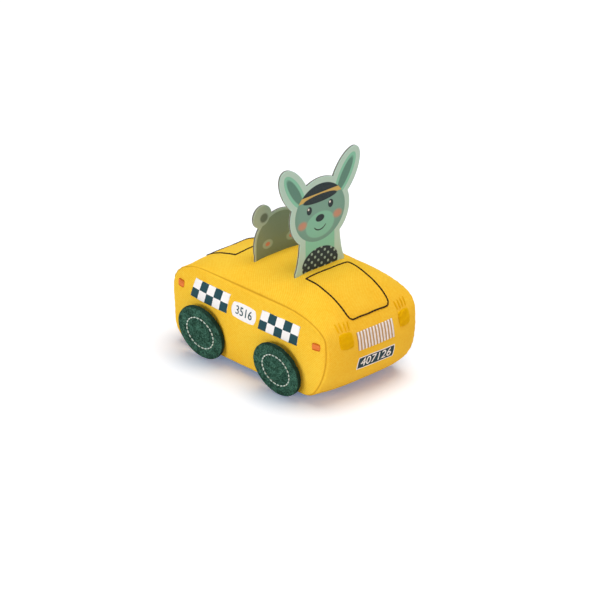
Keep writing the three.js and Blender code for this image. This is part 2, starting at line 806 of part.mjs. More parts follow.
function axleSet(end, x) {
  const group = new THREE.Group();
  group.position.set(x, 0, wheelRadius);
  piece(group, `${end}_axle`, axleRod(), materials.steel);
  for (const [name, side] of Object.entries(SIDES)) {
    const wheel = new THREE.Group();
    wheel.position.y = side * wheelInner;
    wheel.rotation.x = side > 0 ? 0 : Math.PI;
    piece(wheel, `${end}_wheel_${name}`, wheelHub(), materials.plastic);
    piece(wheel, `${end}_tyre_${name}`, wheelTyre(), materials.rubber);
    group.add(wheel);
  }
  return group;
}

function motor() {
  const group = new THREE.Group();
  piece(group, "motor_case_left", caseHalf(1), materials.motorCase);
  piece(group, "motor_case_right", caseHalf(-1), materials.motorCase);
  motorScrews.forEach(({ x, z }, i) => {
    piece(group, `motor_screw_${i + 1}`, motorScrewShape(), materials.steel).position.set(x, 0, z);
  });
  const places = [
    ["axle_gear", axleGear(), materials.gear, axle],
    ["compound_gear", compoundGear(), materials.gear, compound],
    ["compound_pin", rodAcross(0, 0, pinRadius, caseOuter.y), materials.steel, compound],
    ["spring_gear", springGear(), materials.gear, arbor],
    ["spring_arbor", rodAcross(0, 0, arborRadius, caseOuter.y), materials.steel, arbor],
    ["mainspring", mainspring(), materials.steel, arbor],
  ];
  for (const [name, geometry, material, { x, z }] of places) {
    piece(group, name, geometry, material).position.set(x, 0, z);
  }
  return group;
}

const car = new THREE.Group();
car.add(cab(), chassis(), axleSet("rear", rearAxleX), axleSet("front", frontAxleX), motor());

export default car;
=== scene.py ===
"""Dresses the pull-back toy car: stuffed twill cab, felt wheel discs, cut-out cards and running gear."""
import bisect
import json
import math

import bmesh
import bpy
from bpy.props import FloatProperty, FloatVectorProperty, IntProperty, PointerProperty, StringProperty
from mathutils import Matrix, Vector, noise
from mathutils.bvhtree import BVHTree


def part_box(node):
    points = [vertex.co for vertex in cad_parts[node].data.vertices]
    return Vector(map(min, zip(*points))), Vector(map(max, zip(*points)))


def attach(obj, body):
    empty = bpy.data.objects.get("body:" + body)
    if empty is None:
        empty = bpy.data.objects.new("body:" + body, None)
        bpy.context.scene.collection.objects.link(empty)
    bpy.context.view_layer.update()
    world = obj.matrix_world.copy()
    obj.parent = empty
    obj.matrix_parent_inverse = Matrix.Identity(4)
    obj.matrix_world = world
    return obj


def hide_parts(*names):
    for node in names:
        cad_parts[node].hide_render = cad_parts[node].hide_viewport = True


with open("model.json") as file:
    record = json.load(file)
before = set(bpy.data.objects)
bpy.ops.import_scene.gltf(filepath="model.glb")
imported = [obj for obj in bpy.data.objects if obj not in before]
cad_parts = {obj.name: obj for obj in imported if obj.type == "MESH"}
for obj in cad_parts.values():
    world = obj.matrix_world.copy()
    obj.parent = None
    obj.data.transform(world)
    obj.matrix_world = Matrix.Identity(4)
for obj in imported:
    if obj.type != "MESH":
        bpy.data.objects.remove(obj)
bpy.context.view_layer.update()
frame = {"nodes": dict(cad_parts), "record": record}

bl_info = {
    "name": "Pullback Toy Car",
    "version": (1, 0, 0),
    "blender": (4, 5, 0),
    "location": "3D View > Sidebar > Toy Car",
    "description": "Builds a stuffed cloth pull-back taxi with felt wheel discs and printed cut-outs",
    "category": "Add Mesh",
}

MM = 0.001
# Lengths below this count as nothing, and this close to a square's edge counts as on it
TINY = 1e-12
SQUARE_EDGE = 1e-9
CAB = "stuffed_cab"
FRAME_PIXELS = 615


# Settings that a user would change


def length(name, millimetres, description):
    """A size in metres, written here in millimetres."""
    return FloatProperty(name=name, description=description, default=millimetres * MM, unit="LENGTH",
                         precision=5)


def plain(name, value, description):
    """A plain number, such as a strength or a power."""
    return FloatProperty(name=name, description=description, default=value)


def number_of(name, value, description):
    """A whole number of like things."""
    return IntProperty(name=name, description=description, default=value)


def angle_of(name, degrees, description):
    """An angle in radians, written here in degrees."""
    return FloatProperty(name=name, description=description, default=math.radians(degrees), subtype="ANGLE")


def direction_to(name, way, description):
    """A direction in the car's axes."""
    return FloatVectorProperty(name=name, description=description, default=way, subtype="XYZ")


def shade(name, hexadecimal, description):
    """A colour, written as its sRGB hexadecimal value."""
    parts = [int(hexadecimal[i : i + 2], 16) / 255 for i in (0, 2, 4)]
    linear = [p / 12.92 if p <= 0.04045 else ((p + 0.055) / 1.055) ** 2.4 for p in parts]
    return FloatVectorProperty(name=name, description=description, default=linear, subtype="COLOR", size=3)


class CabSizes(bpy.types.PropertyGroup):
    """Shape of the stuffed cloth cab."""

    seam_half_top: length("Seam at roof", 31.2, "Half the width between the side seams at the roof")
    seam_half_bottom: length("Seam at sill", 30.0, "Half the width between the side seams at the underside")
    side_bulge: length("Side bulge", 5.4, "How far a stuffed side stands past its seam")
    crown_power: plain("Crown", 3.7, "Flatness of the roof between the seams")
    nose_power: plain("Nose crown", 4.2, "Flatness of the nose between the seams")
    tail_power: plain("Tail crown", 2.4, "Flatness of the tail between the seams")
    middle_height: length("Middle height", 25.0, "Height of the point that the outlines are measured from")
    swell: length("Swell", 1.6, "Most that the stuffing may push a point of the cloth")
    slack: length("Slack", 0.5, "How far inside its finished place the cloth starts")
    seam_depth: length("Seam depth", 0.6, "Depth of the crease where two panels are sewn together")
    seam_reach: length("Seam reach", 0.8, "How far the crease reaches from the seam")
    pucker: length("Pucker", 0.1, "Height of the small gathers along a seam")
    pucker_pitch: length("Pucker pitch", 4.2, "Distance from one gather to the next")
    dent: length("Dents", 0.45, "Depth of the soft dents in the stuffing")
    slit_pull: length("Slit pull", 0.4, "How far the cloth dips at a card's slit")
    clamp_width: length("Clamp width", 3.7, "Cloth held between the chassis tray and its cover")
    around: number_of("Around", 160, "Faces around the side seam")
    across: number_of("Across", 36, "Faces between the two side seams")


class DiscSizes(bpy.types.PropertyGroup):
    """Felt wheel discs and their running stitch."""

    radius: length("Radius", 15.0, "Radius of a felt disc")
    felt: length("Felt", 2.5, "Thickness of the felt")
    edge: length("Edge", 0.45, "Rounding of the felt's cut edge")
    stand: length("Stand", 0.95, "Distance from the bare side to the felt's back")
    lean: angle_of("Lean", -1.5, "How far a disc tips past the lean of its side")
    turn: angle_of("Turn", 4.0, "How far a disc turns to face forwards")
    rear: length("Rear disc", -28.9, "Place of the rear discs along the car")
    rear_height: length("Rear height", 16.5, "Height of a rear disc's middle")
    front: length("Front disc", 26.2, "Place of the front discs along the car")
    front_height: length("Front height", 15.6, "Height of a front disc's middle")
    droop: length("Droop", 0.2, "Fall of the felt's face towards its rim")
    channel: length("Channel", 0.55, "Depth of the felt under the stitches")
    channel_reach: length("Channel reach", 1.2, "How far the channel reaches to each side")
    fluff: length("Fluff", 0.2, "Roughness of the felt's surface")
    ring: length("Stitch ring", 8.95, "Radius of the running stitch")
    stitch: length("Stitch", 1.9, "Length of one stitch")
    thread: length("Thread", 0.34, "Radius of the thread")
    stitches: number_of("Stitches", 24, "Stitches in one ring")


class CardSizes(bpy.types.PropertyGroup):
    """Cut-out cards that stand in the roof. Heights are above the roof."""

    roof: length("Roof", 57.2, "Height of the roof above the floor")
    thickness: length("Thickness", 1.2, "Thickness of the card")
    edge: length("Edge", 0.2, "Rounding of the card's edges")
    margin: length("Margin", 3.2, "Pale margin round the driver's print")
    back_margin: length("Back margin", 1.3, "Pale margin round the passenger's print")
    tab_half: length("Tab", 16.5, "Half the width of the tab in the roof")
    tab_depth: length("Tab depth", 8.0, "Depth of the tab below the roof")
    driver_x: length("Driver place", 17.75, "Place of the driver card along the car")
    passenger_x: length("Passenger place", -11.5, "Place of the passenger card along the car")
    neck_half: length("Neck", 13.0, "Half the width of the driver's neck")
    head_half: length("Head", 20.0, "Half the width of the driver's head")
    head_rise: length("Head rise", 18.5, "Half the height of the driver's head")
    head_middle: length("Head middle", 29.0, "Height of the middle of the head")
    ear_half: length("Ear", 7.5, "Half the width of an ear")
    ear_rise: length("Ear rise", 15.0, "Half the length of an ear")
    ear_out: length("Ear place", 17.0, "Middle of an ear from the middle of the card")
    ear_middle: length("Ear middle", 44.5, "Height of the middle of an ear")
    ear_lean: FloatProperty(name="Ear lean", description="Outward lean of an ear", default=0.56,
                            subtype="ANGLE")
    hump_half: length("Back", 17.0, "Half the width of the passenger's back")
    hump_rise: length("Back rise", 16.0, "Height of the passenger's back above its middle")
    hump_middle: length("Back middle", 5.0, "Height of the middle of the passenger's back")
    bob_radius: length("Bob tail", 6.2, "Radius of the passenger's tail")
    bob_out: length("Bob tail place", 11.5, "Middle of the tail from the middle of the card")
    bob_middle: length("Bob tail middle", 20.0, "Height of the middle of the tail")


class TrimSizes(bpy.types.PropertyGroup):
    """Printed and embroidered trim on the cloth."""

    ink: length("Ink", 0.12, "How far a print stands off the cloth")
    backing: length("Backing", 0.25, "Thickness of a print or a block of embroidery")
    digit_ink: length("Digit ink", 0.12, "Thickness of a printed digit")
    line: length("Line thread", 0.43, "Radius of the thread of a stitched line")
    line_stitch: length("Line stitch", 2.0, "Length of one stitch of a stitched line")
    satin: length("Satin thread", 0.42, "Width of one thread of satin stitch")
    satin_rise: length("Satin rise", 0.5, "Height of a padded block of satin stitch")
    grille_width: length("Grille width", 24.6, "Width of the grille")
    grille_side: length("Grille place", -0.9, "Middle of the grille from the middle of the car")
    grille_top: length("Grille top", 38.5, "Height of the grille's upper edge")
    grille_bottom: length("Grille bottom", 29.3, "Height of the grille's lower edge")
    grille_rise: length("Grille rise", 0.3, "Height of a bar of the grille")
    grille_bars: number_of("Grille bars", 12, "White bars of the grille")
    plate_width: length("Plate width", 24.6, "Width of the number plate")
    plate_top: length("Plate top", 24.8, "Height of the number plate's upper edge")
    plate_bottom: length("Plate bottom", 17.4, "Height of the number plate's lower edge")
    plate_number: StringProperty(name="Plate number", description="Digits on the plate", default="407126")
    plate_type: length("Plate digits", 6.8, "Type size of the plate's digits")
    lamp_side: length("Headlight place", 19.7, "Middle of a headlight from the middle of the car")
    lamp_height: length("Headlight height", 36.0, "Height of a headlight's middle")
    lamp_width: length("Headlight width", 8.2, "Width of a headlight")
    lamp_tall: length("Headlight size", 8.1, "Height of a headlight")
    ray: length("Ray", 4.3, "Length of the strokes above a headlight")
    ray_thread: length("Ray thread", 0.55, "Radius of the thread of these strokes")
    marker_width: length("Marker width", 4.9, "Length of a side marker along the car")
    marker_tall: length("Marker size", 3.4, "Height of a side marker")
    badge_x: length("Badge place", 0.2, "Middle of the oval badge along the car")
    badge_z: length("Badge height", 35.9, "Height of the oval badge's middle")
    badge_width: length("Badge width", 18.0, "Width of the oval badge")
    badge_tall: length("Badge size", 8.4, "Height of the oval badge")
    badge_number: StringProperty(name="Badge number", description="Digits on the badge", default="3516")
    badge_type: length("Badge digits", 6.2, "Type size of the badge's digits")
    checks: number_of("Checks", 5, "Squares along a checker band")


class CarColours(bpy.types.PropertyGroup):
    """Colours of the toy."""

    twill: shade("Twill", "FFDC4E", "Ribs of the cab's yellow cloth")
    # Painted shade: the furrows between the twill's ribs take this darker colour, along with random
    # unevenness
    twill_shade_and_tone: shade("Twill furrow", "F5B41A", "Cloth between the ribs")
    # Painted shade in the seam creases: a darker orange laid along each seam
    seam: shade("Seam", "C98A12", "Cloth in the crease of a seam")
    felt: shade("Felt", "4B7C6A", "Raised fibres of the wheel discs' felt")
    # Painted shade: the felt's hollows, as well as its random dark spots, take this colour
    felt_shade_and_spots: shade("Felt hollow", "1A372D", "Hollows between the fibres")
    # Painted shade: the felt's rounded rim is coloured near black
    felt_rim_shade: shade("Felt edge", "14261D", "Cut edge of the felt")
    stitch: shade("Stitch", "DDF0E6", "Running stitch on the felt")
    white: shade("White ink", "FDFAFA", "White of the prints")
    checker: shade("Checker", "1F4750", "Dark squares of the checker bands")
    outline: shade("Outline", "2C1B0F", "Thread of the bonnet and window lines")
    grille: shade("Grille gap", "C09C70", "Gaps between the grille's bars")
    plate: shade("Plate", "24404A", "Field of the number plate")
    lamp: shade("Headlight", "FFC000", "Embroidery of the headlights")
    ray: shade("Ray", "F8B90C", "Strokes above the headlights")
    marker: shade("Marker", "FF8B46", "Embroidery of the side markers")
    marker_deep: shade("Marker edge", "D9701C", "Edges of the side markers")
    card: shade("Card", "7AAB9F", "Body colour of the driver card")
    card_margin: shade("Card margin", "B9DDD4", "Pale margin of the driver card")
    card_mint: shade("Card mint", "88D0B8", "Muzzle and neck of the driver card")
    card_shadow: shade("Card shadow", "5E9084", "Shaded parts of the driver card")
    card_dark: shade("Card dark", "1B323A", "Cap, eyes and scarf of the driver card")
    card_band: shade("Cap band", "D2B767", "Band round the cap")
    card_edge_tone: shade("Card core", "6E685C", "Cut edge of the cards")
    blush: shade("Blush", "D98A6C", "Cheeks and marks of the cards")
    back: shade("Back", "87987E", "Body colour of the passenger card")
    back_margin: shade("Back margin", "B2C4AF", "Pale margin of the passenger card")
    plastic: shade("Plastic", "202326", "Chassis plastic")
    case: shade("Motor case", "34383C", "Plastic of the motor case")
    gear: shade("Gear", "EEEADE", "Plastic of the gears")
    rubber: shade("Rubber", "17181A", "Rubber of the tyres")
    steel: shade("Steel", "B9BDC2", "Axles and screws")
    floor: shade("Floor", "EAEAEA", "Studio floor as a source of bounced light")
    floor_seen: shade("Floor seen", "FFFBF4", "Studio floor as it is seen")
    floor_glow: shade("Floor glow", "5A6F8C", "Light added to the seen floor, against a yellow cast")


class StageSizes(bpy.types.PropertyGroup):
    """Camera and light of the studio."""

    azimuth: angle_of("Azimuth", 46.8, "Camera's way round the car")
    elevation: angle_of("Elevation", 25.6, "Camera's height")
    distance: FloatProperty(name="Distance", description="Camera to car", default=3.0, unit="LENGTH")
    pixels: plain("Scale", 2000.0, "Pixels of the picture per metre of the car")
    origin_u: plain("Origin across", 294.7, "Pixel of the car's origin, across")
    origin_v: plain("Origin down", 357.4, "Pixel of the car's origin, down")
    ambient: plain("Ambient", 0.24, "Strength of the light from all round")
    key_light: plain("Key", 2.15, "Strength of the light from above")
    key_spread: angle_of("Key softness", 48, "Angle that the light from above covers")
    key_from: direction_to("Key place", (0.06, 0.18, 0.98), "Direction towards the light from above")
    key_colour: shade("Key colour", "FFFFFF", "Colour of the light from above")
    side_light: plain("Side light", 2.25, "Strength of the light on the right")
    side_spread: angle_of("Side softness", 34, "Angle that the side light covers")
    side_from: direction_to("Side place", (-0.15, -0.98, 0.04), "Direction towards the side light")
    side_colour: shade("Side colour", "FFFFFF", "Colour of the side light")
    nose_light: plain("Nose light", 1.12, "Strength of the light on the nose")
    nose_spread: angle_of("Nose softness", 34, "Angle that the nose light covers")
    nose_from: direction_to("Nose place", (0.98, -0.2, 0.03), "Direction towards the nose light")
    nose_colour: shade("Nose colour", "FFBF7E", "Colour of the nose light")


class ToyCar(bpy.types.PropertyGroup):
    """All settings of the toy car."""

    cab: PointerProperty(type=CabSizes)
    disc: PointerProperty(type=DiscSizes)
    card: PointerProperty(type=CardSizes)
    trim: PointerProperty(type=TrimSizes)
    colour: PointerProperty(type=CarColours)
    stage: PointerProperty(type=StageSizes)


# Materials


class Signal:
    """A shader socket that takes part in Python arithmetic."""

    def __init__(self, finish, socket):
        self.finish = finish
        self.socket = socket

    def maths(self, operation, *others, clamp=False):
        settings = {"operation": operation, "use_clamp": clamp}
        return self.finish.node("ShaderNodeMath", settings, dict(enumerate((self, *others))))

    def reflected(self, operation, other):
        return self.finish.node("ShaderNodeMath", {"operation": operation}, {0: other, 1: self})

    def __add__(self, other):
        return self.maths("ADD", other)

    def __radd__(self, other):
        return self.reflected("ADD", other)

    def __sub__(self, other):
        return self.maths("SUBTRACT", other)

    def __rsub__(self, other):
        return self.reflected("SUBTRACT", other)

    def __mul__(self, other):
        return self.maths("MULTIPLY", other)

    def __rmul__(self, other):
        return self.reflected("MULTIPLY", other)

    def __truediv__(self, other):
        return self.maths("DIVIDE", other)

    def __rtruediv__(self, other):
        return self.reflected("DIVIDE", other)

    def __abs__(self):
        return self.maths("ABSOLUTE")

    def clip(self):
        return self.maths("ADD", 0.0, clamp=True)

    def sine(self):
        return self.maths("SINE")

    def cosine(self):
        return self.maths("COSINE")

    def exponent(self):
        return self.maths("EXPONENT")

    def root(self):
        return self.maths("SQRT")

    def floor(self):
        return self.maths("FLOOR")

    def modulo(self, other):
        return self.maths("FLOORED_MODULO", other)

    def most(self, other):
        return self.maths("MAXIMUM", other)

    def least(self, other):
        return self.maths("MINIMUM", other)


class Finish:
    """A node material, or the world's nodes, under construction."""

    def __init__(self, name, store=None):
        self.made = (bpy.data.materials if store is None else store).new(name)
        self.made.use_nodes = True
        self.tree = self.made.node_tree
        self.tree.nodes.clear()

    def node(self, kind, settings=None, inputs=None, output=0):
        """Adds a node: its settings first, then its sockets. Gives one of its outputs, if it has any."""
        made = self.tree.nodes.new(kind)
        for key, value in (settings or {}).items():
            setattr(made, key, value)
        for key, value in (inputs or {}).items():
            self.feed(made.inputs[key], value)
        return Signal(self, made.outputs[output]) if len(made.outputs) else None

    def feed(self, socket, value):
        """Links a signal to a socket, or sets the socket to a constant."""
        if isinstance(value, Signal):
            self.tree.links.new(value.socket, socket)
        elif socket.type == "RGBA":
            socket.default_value = (*value[:3], 1.0)
        else:
            socket.default_value = value

    def place(self):
        """Object coordinates in millimetres, as three signals."""
        where = self.node("ShaderNodeTexCoord", output="Object")
        parts = [self.node("ShaderNodeSeparateXYZ", None, {0: where}, output=i) for i in range(3)]
        return [part * (1 / MM) for part in parts]

    def patch_place(self):
        """The piece's own UV map, as two signals."""
        where = self.node("ShaderNodeUVMap", {"uv_map": "cloth"})
        return [self.node("ShaderNodeSeparateXYZ", None, {0: where}, output=i) for i in range(2)]

    def cloth_place(self):
        """The piece's own UV map in millimetres, as two signals."""
        return [part * (1 / MM) for part in self.patch_place()]

    def noise(self, scale, detail=3.0, roughness=0.55, offset=0.0):
        """Fine unevenness from about 0 to 1, its scale per metre."""
        where = self.node("ShaderNodeTexCoord", output="Object")
        if offset:
            where = self.node("ShaderNodeVectorMath", {"operation": "ADD"}, {0: where, 1: (offset,) * 3})
        return self.node("ShaderNodeTexNoise", None,
                         {"Vector": where, "Scale": scale, "Detail": detail, "Roughness": roughness})

    def mix(self, factor, first, second):
        """A blend of two colours: the first at a factor of 0, the second at 1."""
        return self.node("ShaderNodeMix", {"data_type": "RGBA"}, {0: factor, 6: first, 7: second}, output=2)

    def vary(self, colour, factor, amount):
        """The colour, made darker and lighter by a signal that runs from 0 to 1."""
        dark = [c * (1 - amount) for c in colour]
        light = [min(1.0, c * (1 + amount)) for c in colour]
        return self.mix(factor, dark, light)

    def bump(self, height, distance, strength):
        """A normal bent by a height signal, over a distance in metres."""
        inputs = {"Height": height, "Distance": distance, "Strength": strength}
        return self.node("ShaderNodeBump", None, inputs)

    def surface(self, colour, roughness, normal=None, **others):
        """Closes the material with a principled shader. Others are its sockets, in small letters."""
        inputs = {"Base Color": colour, "Roughness": roughness}
        if normal is not None:
            inputs["Normal"] = normal
        for key, value in others.items():
            inputs[key.replace("_", " ").title().replace("Ior", "IOR")] = value
        shader = self.node("ShaderNodeBsdfPrincipled", None, inputs)
        self.node("ShaderNodeOutputMaterial", None, {"Surface": shader})
        return self.made

    def seen(self):
        """1 for a ray that shows the background, also in a mirror or glass, and 0 for one that lights."""
        camera, mirror, glass = (
            self.node("ShaderNodeLightPath", output=f"Is {kind} Ray")
            for kind in ("Camera", "Glossy", "Transmission")
        )
        return camera.most(mirror).most(glass)

    def weave(self, pitch=0.82, cross_pitch=0.55, steep=0.73, shallow=0.69):
        """Height of a ribbed twill, from 0 to 1: slanting ribs crossed by finer threads, pitches in mm."""
        across, along = self.cloth_place()
        sway = self.noise(45.0, 2.0, 0.5, 11.0)
        rib = ((across * steep - along * shallow) * (math.tau / pitch) + sway * 2.0).sine()
        thread = ((across * shallow + along * steep) * (math.tau / cross_pitch)).sine()
        return (rib * 0.38 + thread * 0.12 + 0.5).clip()


def twill_finish(colours):
    """Yellow cotton twill: pale ribs, painted shade in the furrows and in the seam creases, and a little
    uneven.
    """
    finish = Finish("yellow_twill")
    weave = finish.weave()
    cloud = finish.noise(28.0, 3.0)
    fleck = finish.noise(900.0, 2.0, 0.6, 3.0)
    # Painted shade: the low parts of the weave, its furrows, pull the cloth towards the darker colour,
    # mixed with random cloud and flecks
    tone = (weave * 0.45 + cloud * 0.7 + fleck * 0.7 - 0.43).clip()
    base = finish.mix(tone, colours.twill_shade_and_tone, colours.twill)
    # Painted shade in the seam creases: close to each seam the cloth turns towards the seam colour
    metres = finish.node("ShaderNodeAttribute", {"attribute_name": "seam_distance"}, output="Fac")
    distance = metres * (1 / MM)
    crease = (distance * distance * -5.0).exponent()
    colour = finish.mix(crease * 0.75, base, colours.seam)
    normal = finish.bump(weave + fleck * 0.5, 0.00012, 0.7)
    return finish.surface(colour, 0.94 - weave * 0.06, normal, sheen_weight=0.1, sheen_roughness=0.5,
                          sheen_tint=colours.twill, specular_ior_level=0.1)


def ink_finish(name, colour, texture=0.06):
    """Flat ink on cloth: the weave shows through a little."""
    finish = Finish(name)
    cloud = finish.noise(140.0, 3.0)
    fleck = finish.noise(1500.0, 2.0, 0.6)
    tone = finish.vary(colour, cloud * 0.5 + fleck * 0.5, texture)
    normal = finish.bump(fleck, 0.0001, 0.5)
    return finish.surface(tone, 0.72 + fleck * 0.15, normal, specular_ior_level=0.25)


def checker_finish(colours, columns):
    """Two rows of printed squares, laid out on the patch's own UV map."""
    finish = Finish("checker_print")
    u, v = finish.patch_place()
    wobble = finish.noise(420.0, 2.0) - 0.5
    cell = (u * float(columns) + wobble * 0.05).floor() + (v * 2.0 + wobble * 0.06).floor()
    dark = 1 - cell.modulo(2.0)
    fleck = finish.noise(1400.0, 2.0, 0.6)
    white = finish.vary(colours.white, fleck, 0.05)
    ink = finish.vary(colours.checker, fleck, 0.22)
    normal = finish.bump(fleck, 0.0001, 0.5)
    colour = finish.mix(dark, white, ink)
    return finish.surface(colour, 0.74 + fleck * 0.12, normal, specular_ior_level=0.25)


def grille_finish(colours, bars):
    """White upright bars of thread with taupe cloth between them."""
    finish = Finish("grille_thread")
    u, v = finish.patch_place()
    wobble = finish.noise(300.0, 2.0) - 0.5
    fleck = finish.noise(1400.0, 2.0, 0.6)
    bar = (((u * float(bars) - 0.5) * math.tau).cosine() * 3.0 + wobble * 1.2 + 0.45).clip()
    strand = (v * 260.0 + wobble * 9.0).sine() * 0.5 + 0.5
    white = finish.vary(colours.white, fleck * 0.5 + strand * 0.5, 0.05)
    taupe = finish.vary(colours.grille, fleck, 0.12)
    colour = finish.mix(bar, taupe, white)
    normal = finish.bump(fleck * 0.5 + strand * bar, 0.0001, 0.5)
    return finish.surface(colour, 0.75 + fleck * 0.1, normal, specular_ior_level=0.2)


def plate_finish(colours, width, tall, edge=0.45):
    """Thin white edge round a dark field, worked out in millimetres from the patch's edge."""
    finish = Finish("number_plate_print")
    u, v = finish.patch_place()
    from_side = (0.5 - abs(u - 0.5)) * (width / MM)
    from_end = (0.5 - abs(v - 0.5)) * (tall / MM)
    fleck = finish.noise(1400.0, 2.0, 0.6)
    field = ((from_side.least(from_end) - edge) * 9.0).clip()
    white = finish.vary(colours.white, fleck, 0.05)
    dark = finish.vary(colours.plate, fleck, 0.2)
    normal = finish.bump(fleck, 0.0001, 0.5)
    colour = finish.mix(field, white, dark)
    return finish.surface(colour, 0.72 + fleck * 0.12, normal, specular_ior_level=0.2)


def thread_finish(name, colour, pitch=0.34, slant=(0.2, 1.0, 0.35)):
    """Embroidery thread: fine parallel strands with a soft shine."""
    finish = Finish(name)
    x, y, z = finish.place()
    wobble = finish.noise(700.0, 2.0)
    strand = ((x * slant[0] + y * slant[1] + z * slant[2]) * (math.tau / pitch) + wobble * 3.0).sine()
    height = strand * 0.5 + 0.5
    colour_out = finish.vary(colour, height * 0.6 + wobble * 0.4, 0.2)
    normal = finish.bump(height, 0.00012, 0.8)
    return finish.surface(colour_out, 0.6 + height * 0.12, normal, specular_ior_level=0.08)


def felt_finish(colours):
    """Matted wool felt: fibres of uneven tone, some of them pale, with painted shade in the hollows and on
    the cut edge, and no shine.
    """
    finish = Finish("green_felt")
    broad = finish.noise(240.0, 4.0, 0.65)
    fine = finish.noise(1100.0, 4.0, 0.7, 5.0)
    fibre = finish.noise(2800.0, 2.0, 0.7, 9.0)
    # Painted shade: this mask follows the felt's bump height, so its hollows go dark, mixed with random
    # spots
    hollow_shade_and_spots = ((broad * 0.4 + fine * 0.8 + fibre * 0.3 - 0.75) * 4.5 + 0.35).clip()
    stray = ((fibre * 0.5 + fine * 0.5 - 0.58) * 9.0).clip()
    colour = finish.mix(hollow_shade_and_spots, colours.felt_shade_and_spots, colours.felt)
    colour = finish.mix(stray * 0.35, colour, colours.card_mint)
    # Painted shade: the felt's rounded rim goes darker
    cut = finish.node("ShaderNodeAttribute", {"attribute_name": "cut_edge"}, output="Fac")
    colour = finish.mix(cut * 0.75, colour, colours.felt_rim_shade)
    normal = finish.bump(fine + fibre * 0.6 + broad * 0.5, 0.0007, 0.9)
    return finish.surface(colour, 0.96 - fine * 0.05, normal, sheen_weight=0.05, sheen_roughness=0.6,
                          sheen_tint=colours.felt, specular_ior_level=0.06)


def moulded_finish(name, colour, roughness, grain=0.06):
    """Moulded plastic or rubber: fine spark texture and slight wear in the tone."""
    finish = Finish(name)
    grainy = finish.noise(2600.0, 3.0, 0.6)
    cloud = finish.noise(60.0, 4.0)
    tone = finish.vary(colour, cloud * 0.6 + grainy * 0.4, 0.12)
    normal = finish.bump(grainy, 0.00004, grain * 10)
    return finish.surface(tone, roughness + cloud * 0.1 - 0.05, normal)


def steel_finish(colours):
    """Drawn steel: fine lines round the rod."""
    finish = Finish("drawn_steel")
    y = finish.place()[1]
    scratch = finish.noise(1800.0, 4.0, 0.7)
    line = (y * 9.0 + scratch * 6.0).sine() * 0.5 + 0.5
    tone = finish.vary(colours.steel, line * 0.5 + scratch * 0.5, 0.12)
    normal = finish.bump(line, 0.00002, 0.5)
    return finish.surface(tone, 0.24 + scratch * 0.16, normal, metallic=1.0)


class CardPrint(Finish):
    """Artwork of a card, drawn in millimetres across the card and above the roof."""

    blur = 0.22

    def __init__(self, name, sizes, middle):
        super().__init__(name)
        x, y, z = self.place()
        self.y = y
        self.h = z - sizes.roof / MM
        # The core mask is 1 on the card's cut edge, which takes a grey-brown colour
        inside = (sizes.thickness / 2 - sizes.edge) / MM - abs(x - middle / MM)
        self.core = (inside * 12.0 + 0.5).clip()
        self.grain = self.noise(1500.0, 3.0, 0.65)
        self.cloud = self.noise(120.0, 3.0, 0.6, 2.0)

    def oval(self, y, h, half, rise, lean=0.0, soft=blur):
        """Mask of an oval: 1 inside it."""
        dy = self.y - y
        dh = self.h - h
        turn, slide = math.cos(lean), math.sin(lean)
        a = (dy * turn + dh * slide) / half
        b = (dh * turn - dy * slide) / rise
        return ((1 - (a * a + b * b).root()) * (min(half, rise) / soft) + 0.5).clip()

    def above(self, h):
        """Mask of all that is higher on the card: 1 above the line."""
        return ((self.h - h) / self.blur + 0.5).clip()

    def within(self, half):
        """Mask of an upright band about the middle of the card: 1 inside it."""
        return ((half - abs(self.y)) / self.blur + 0.5).clip()

    def printed(self, colour, colours):
        """The finished card: ink with a paper grain, and a grey-brown along its cut edge."""
        inked = self.mix(self.grain * 0.05, colour, colours.white)
        edge_tone = self.vary(colours.card_edge_tone, self.grain, 0.25)
        normal = self.bump(self.grain, 0.00005, 0.6)
        return self.surface(self.mix(self.core, inked, edge_tone), 0.58 + self.cloud * 0.12, normal,
                            specular_ior_level=0.1)


def in_millimetres(sizes):
    """The lengths of a group of settings, by name."""
    return {key: getattr(sizes, key) / MM for key in sizes.__annotations__}


# Ovals of the driver's face in millimetres: across and up from the head's middle, half width, half height
FACE = {
    "muzzle": (0.0, -6.6, 9.6, 6.8),
    "cheek": (11.8, -4.2, 2.8, 2.1),
    "eye": (7.2, 2.6, 1.75, 2.2),
    "glint": (7.2, 3.5, 0.55, 0.6),
    "nose": (0.0, -3.2, 2.9, 1.9),
    "smile": (0.0, -6.4, 4.2, 3.4),
    "smile_hollow": (0.0, -5.8, 4.0, 3.3),
    "visor": (0.0, 7.6, 11.4, 2.1),
}
# Both eyes' glints are moved the same way across, in millimetres
GLINT_SHIFT = -0.5
# Heights on the driver's head in millimetres, from its middle
SMILE_TOP = -7.4
CAP_FOOT = 8.4
BAND_FOOT = 7.9
BAND_TOP = 10.5
# The driver's scarf in millimetres
SCARF_MIDDLE = 1.5
SCARF_INSET = 1.2
SCARF_RISE = 8.6
SPOT_PITCH = 4.4
# Marks on the passenger card in millimetres: across, up, half width, half height
PAD = (8.0, 4.2, 3.4, 2.4)
PAD_DOT = (8.0, 4.2, 1.5, 1.1)
# The same for the tuft, from the middle of the bob tail
TUFT = (1.0, -0.8, 2.6, 2.4)


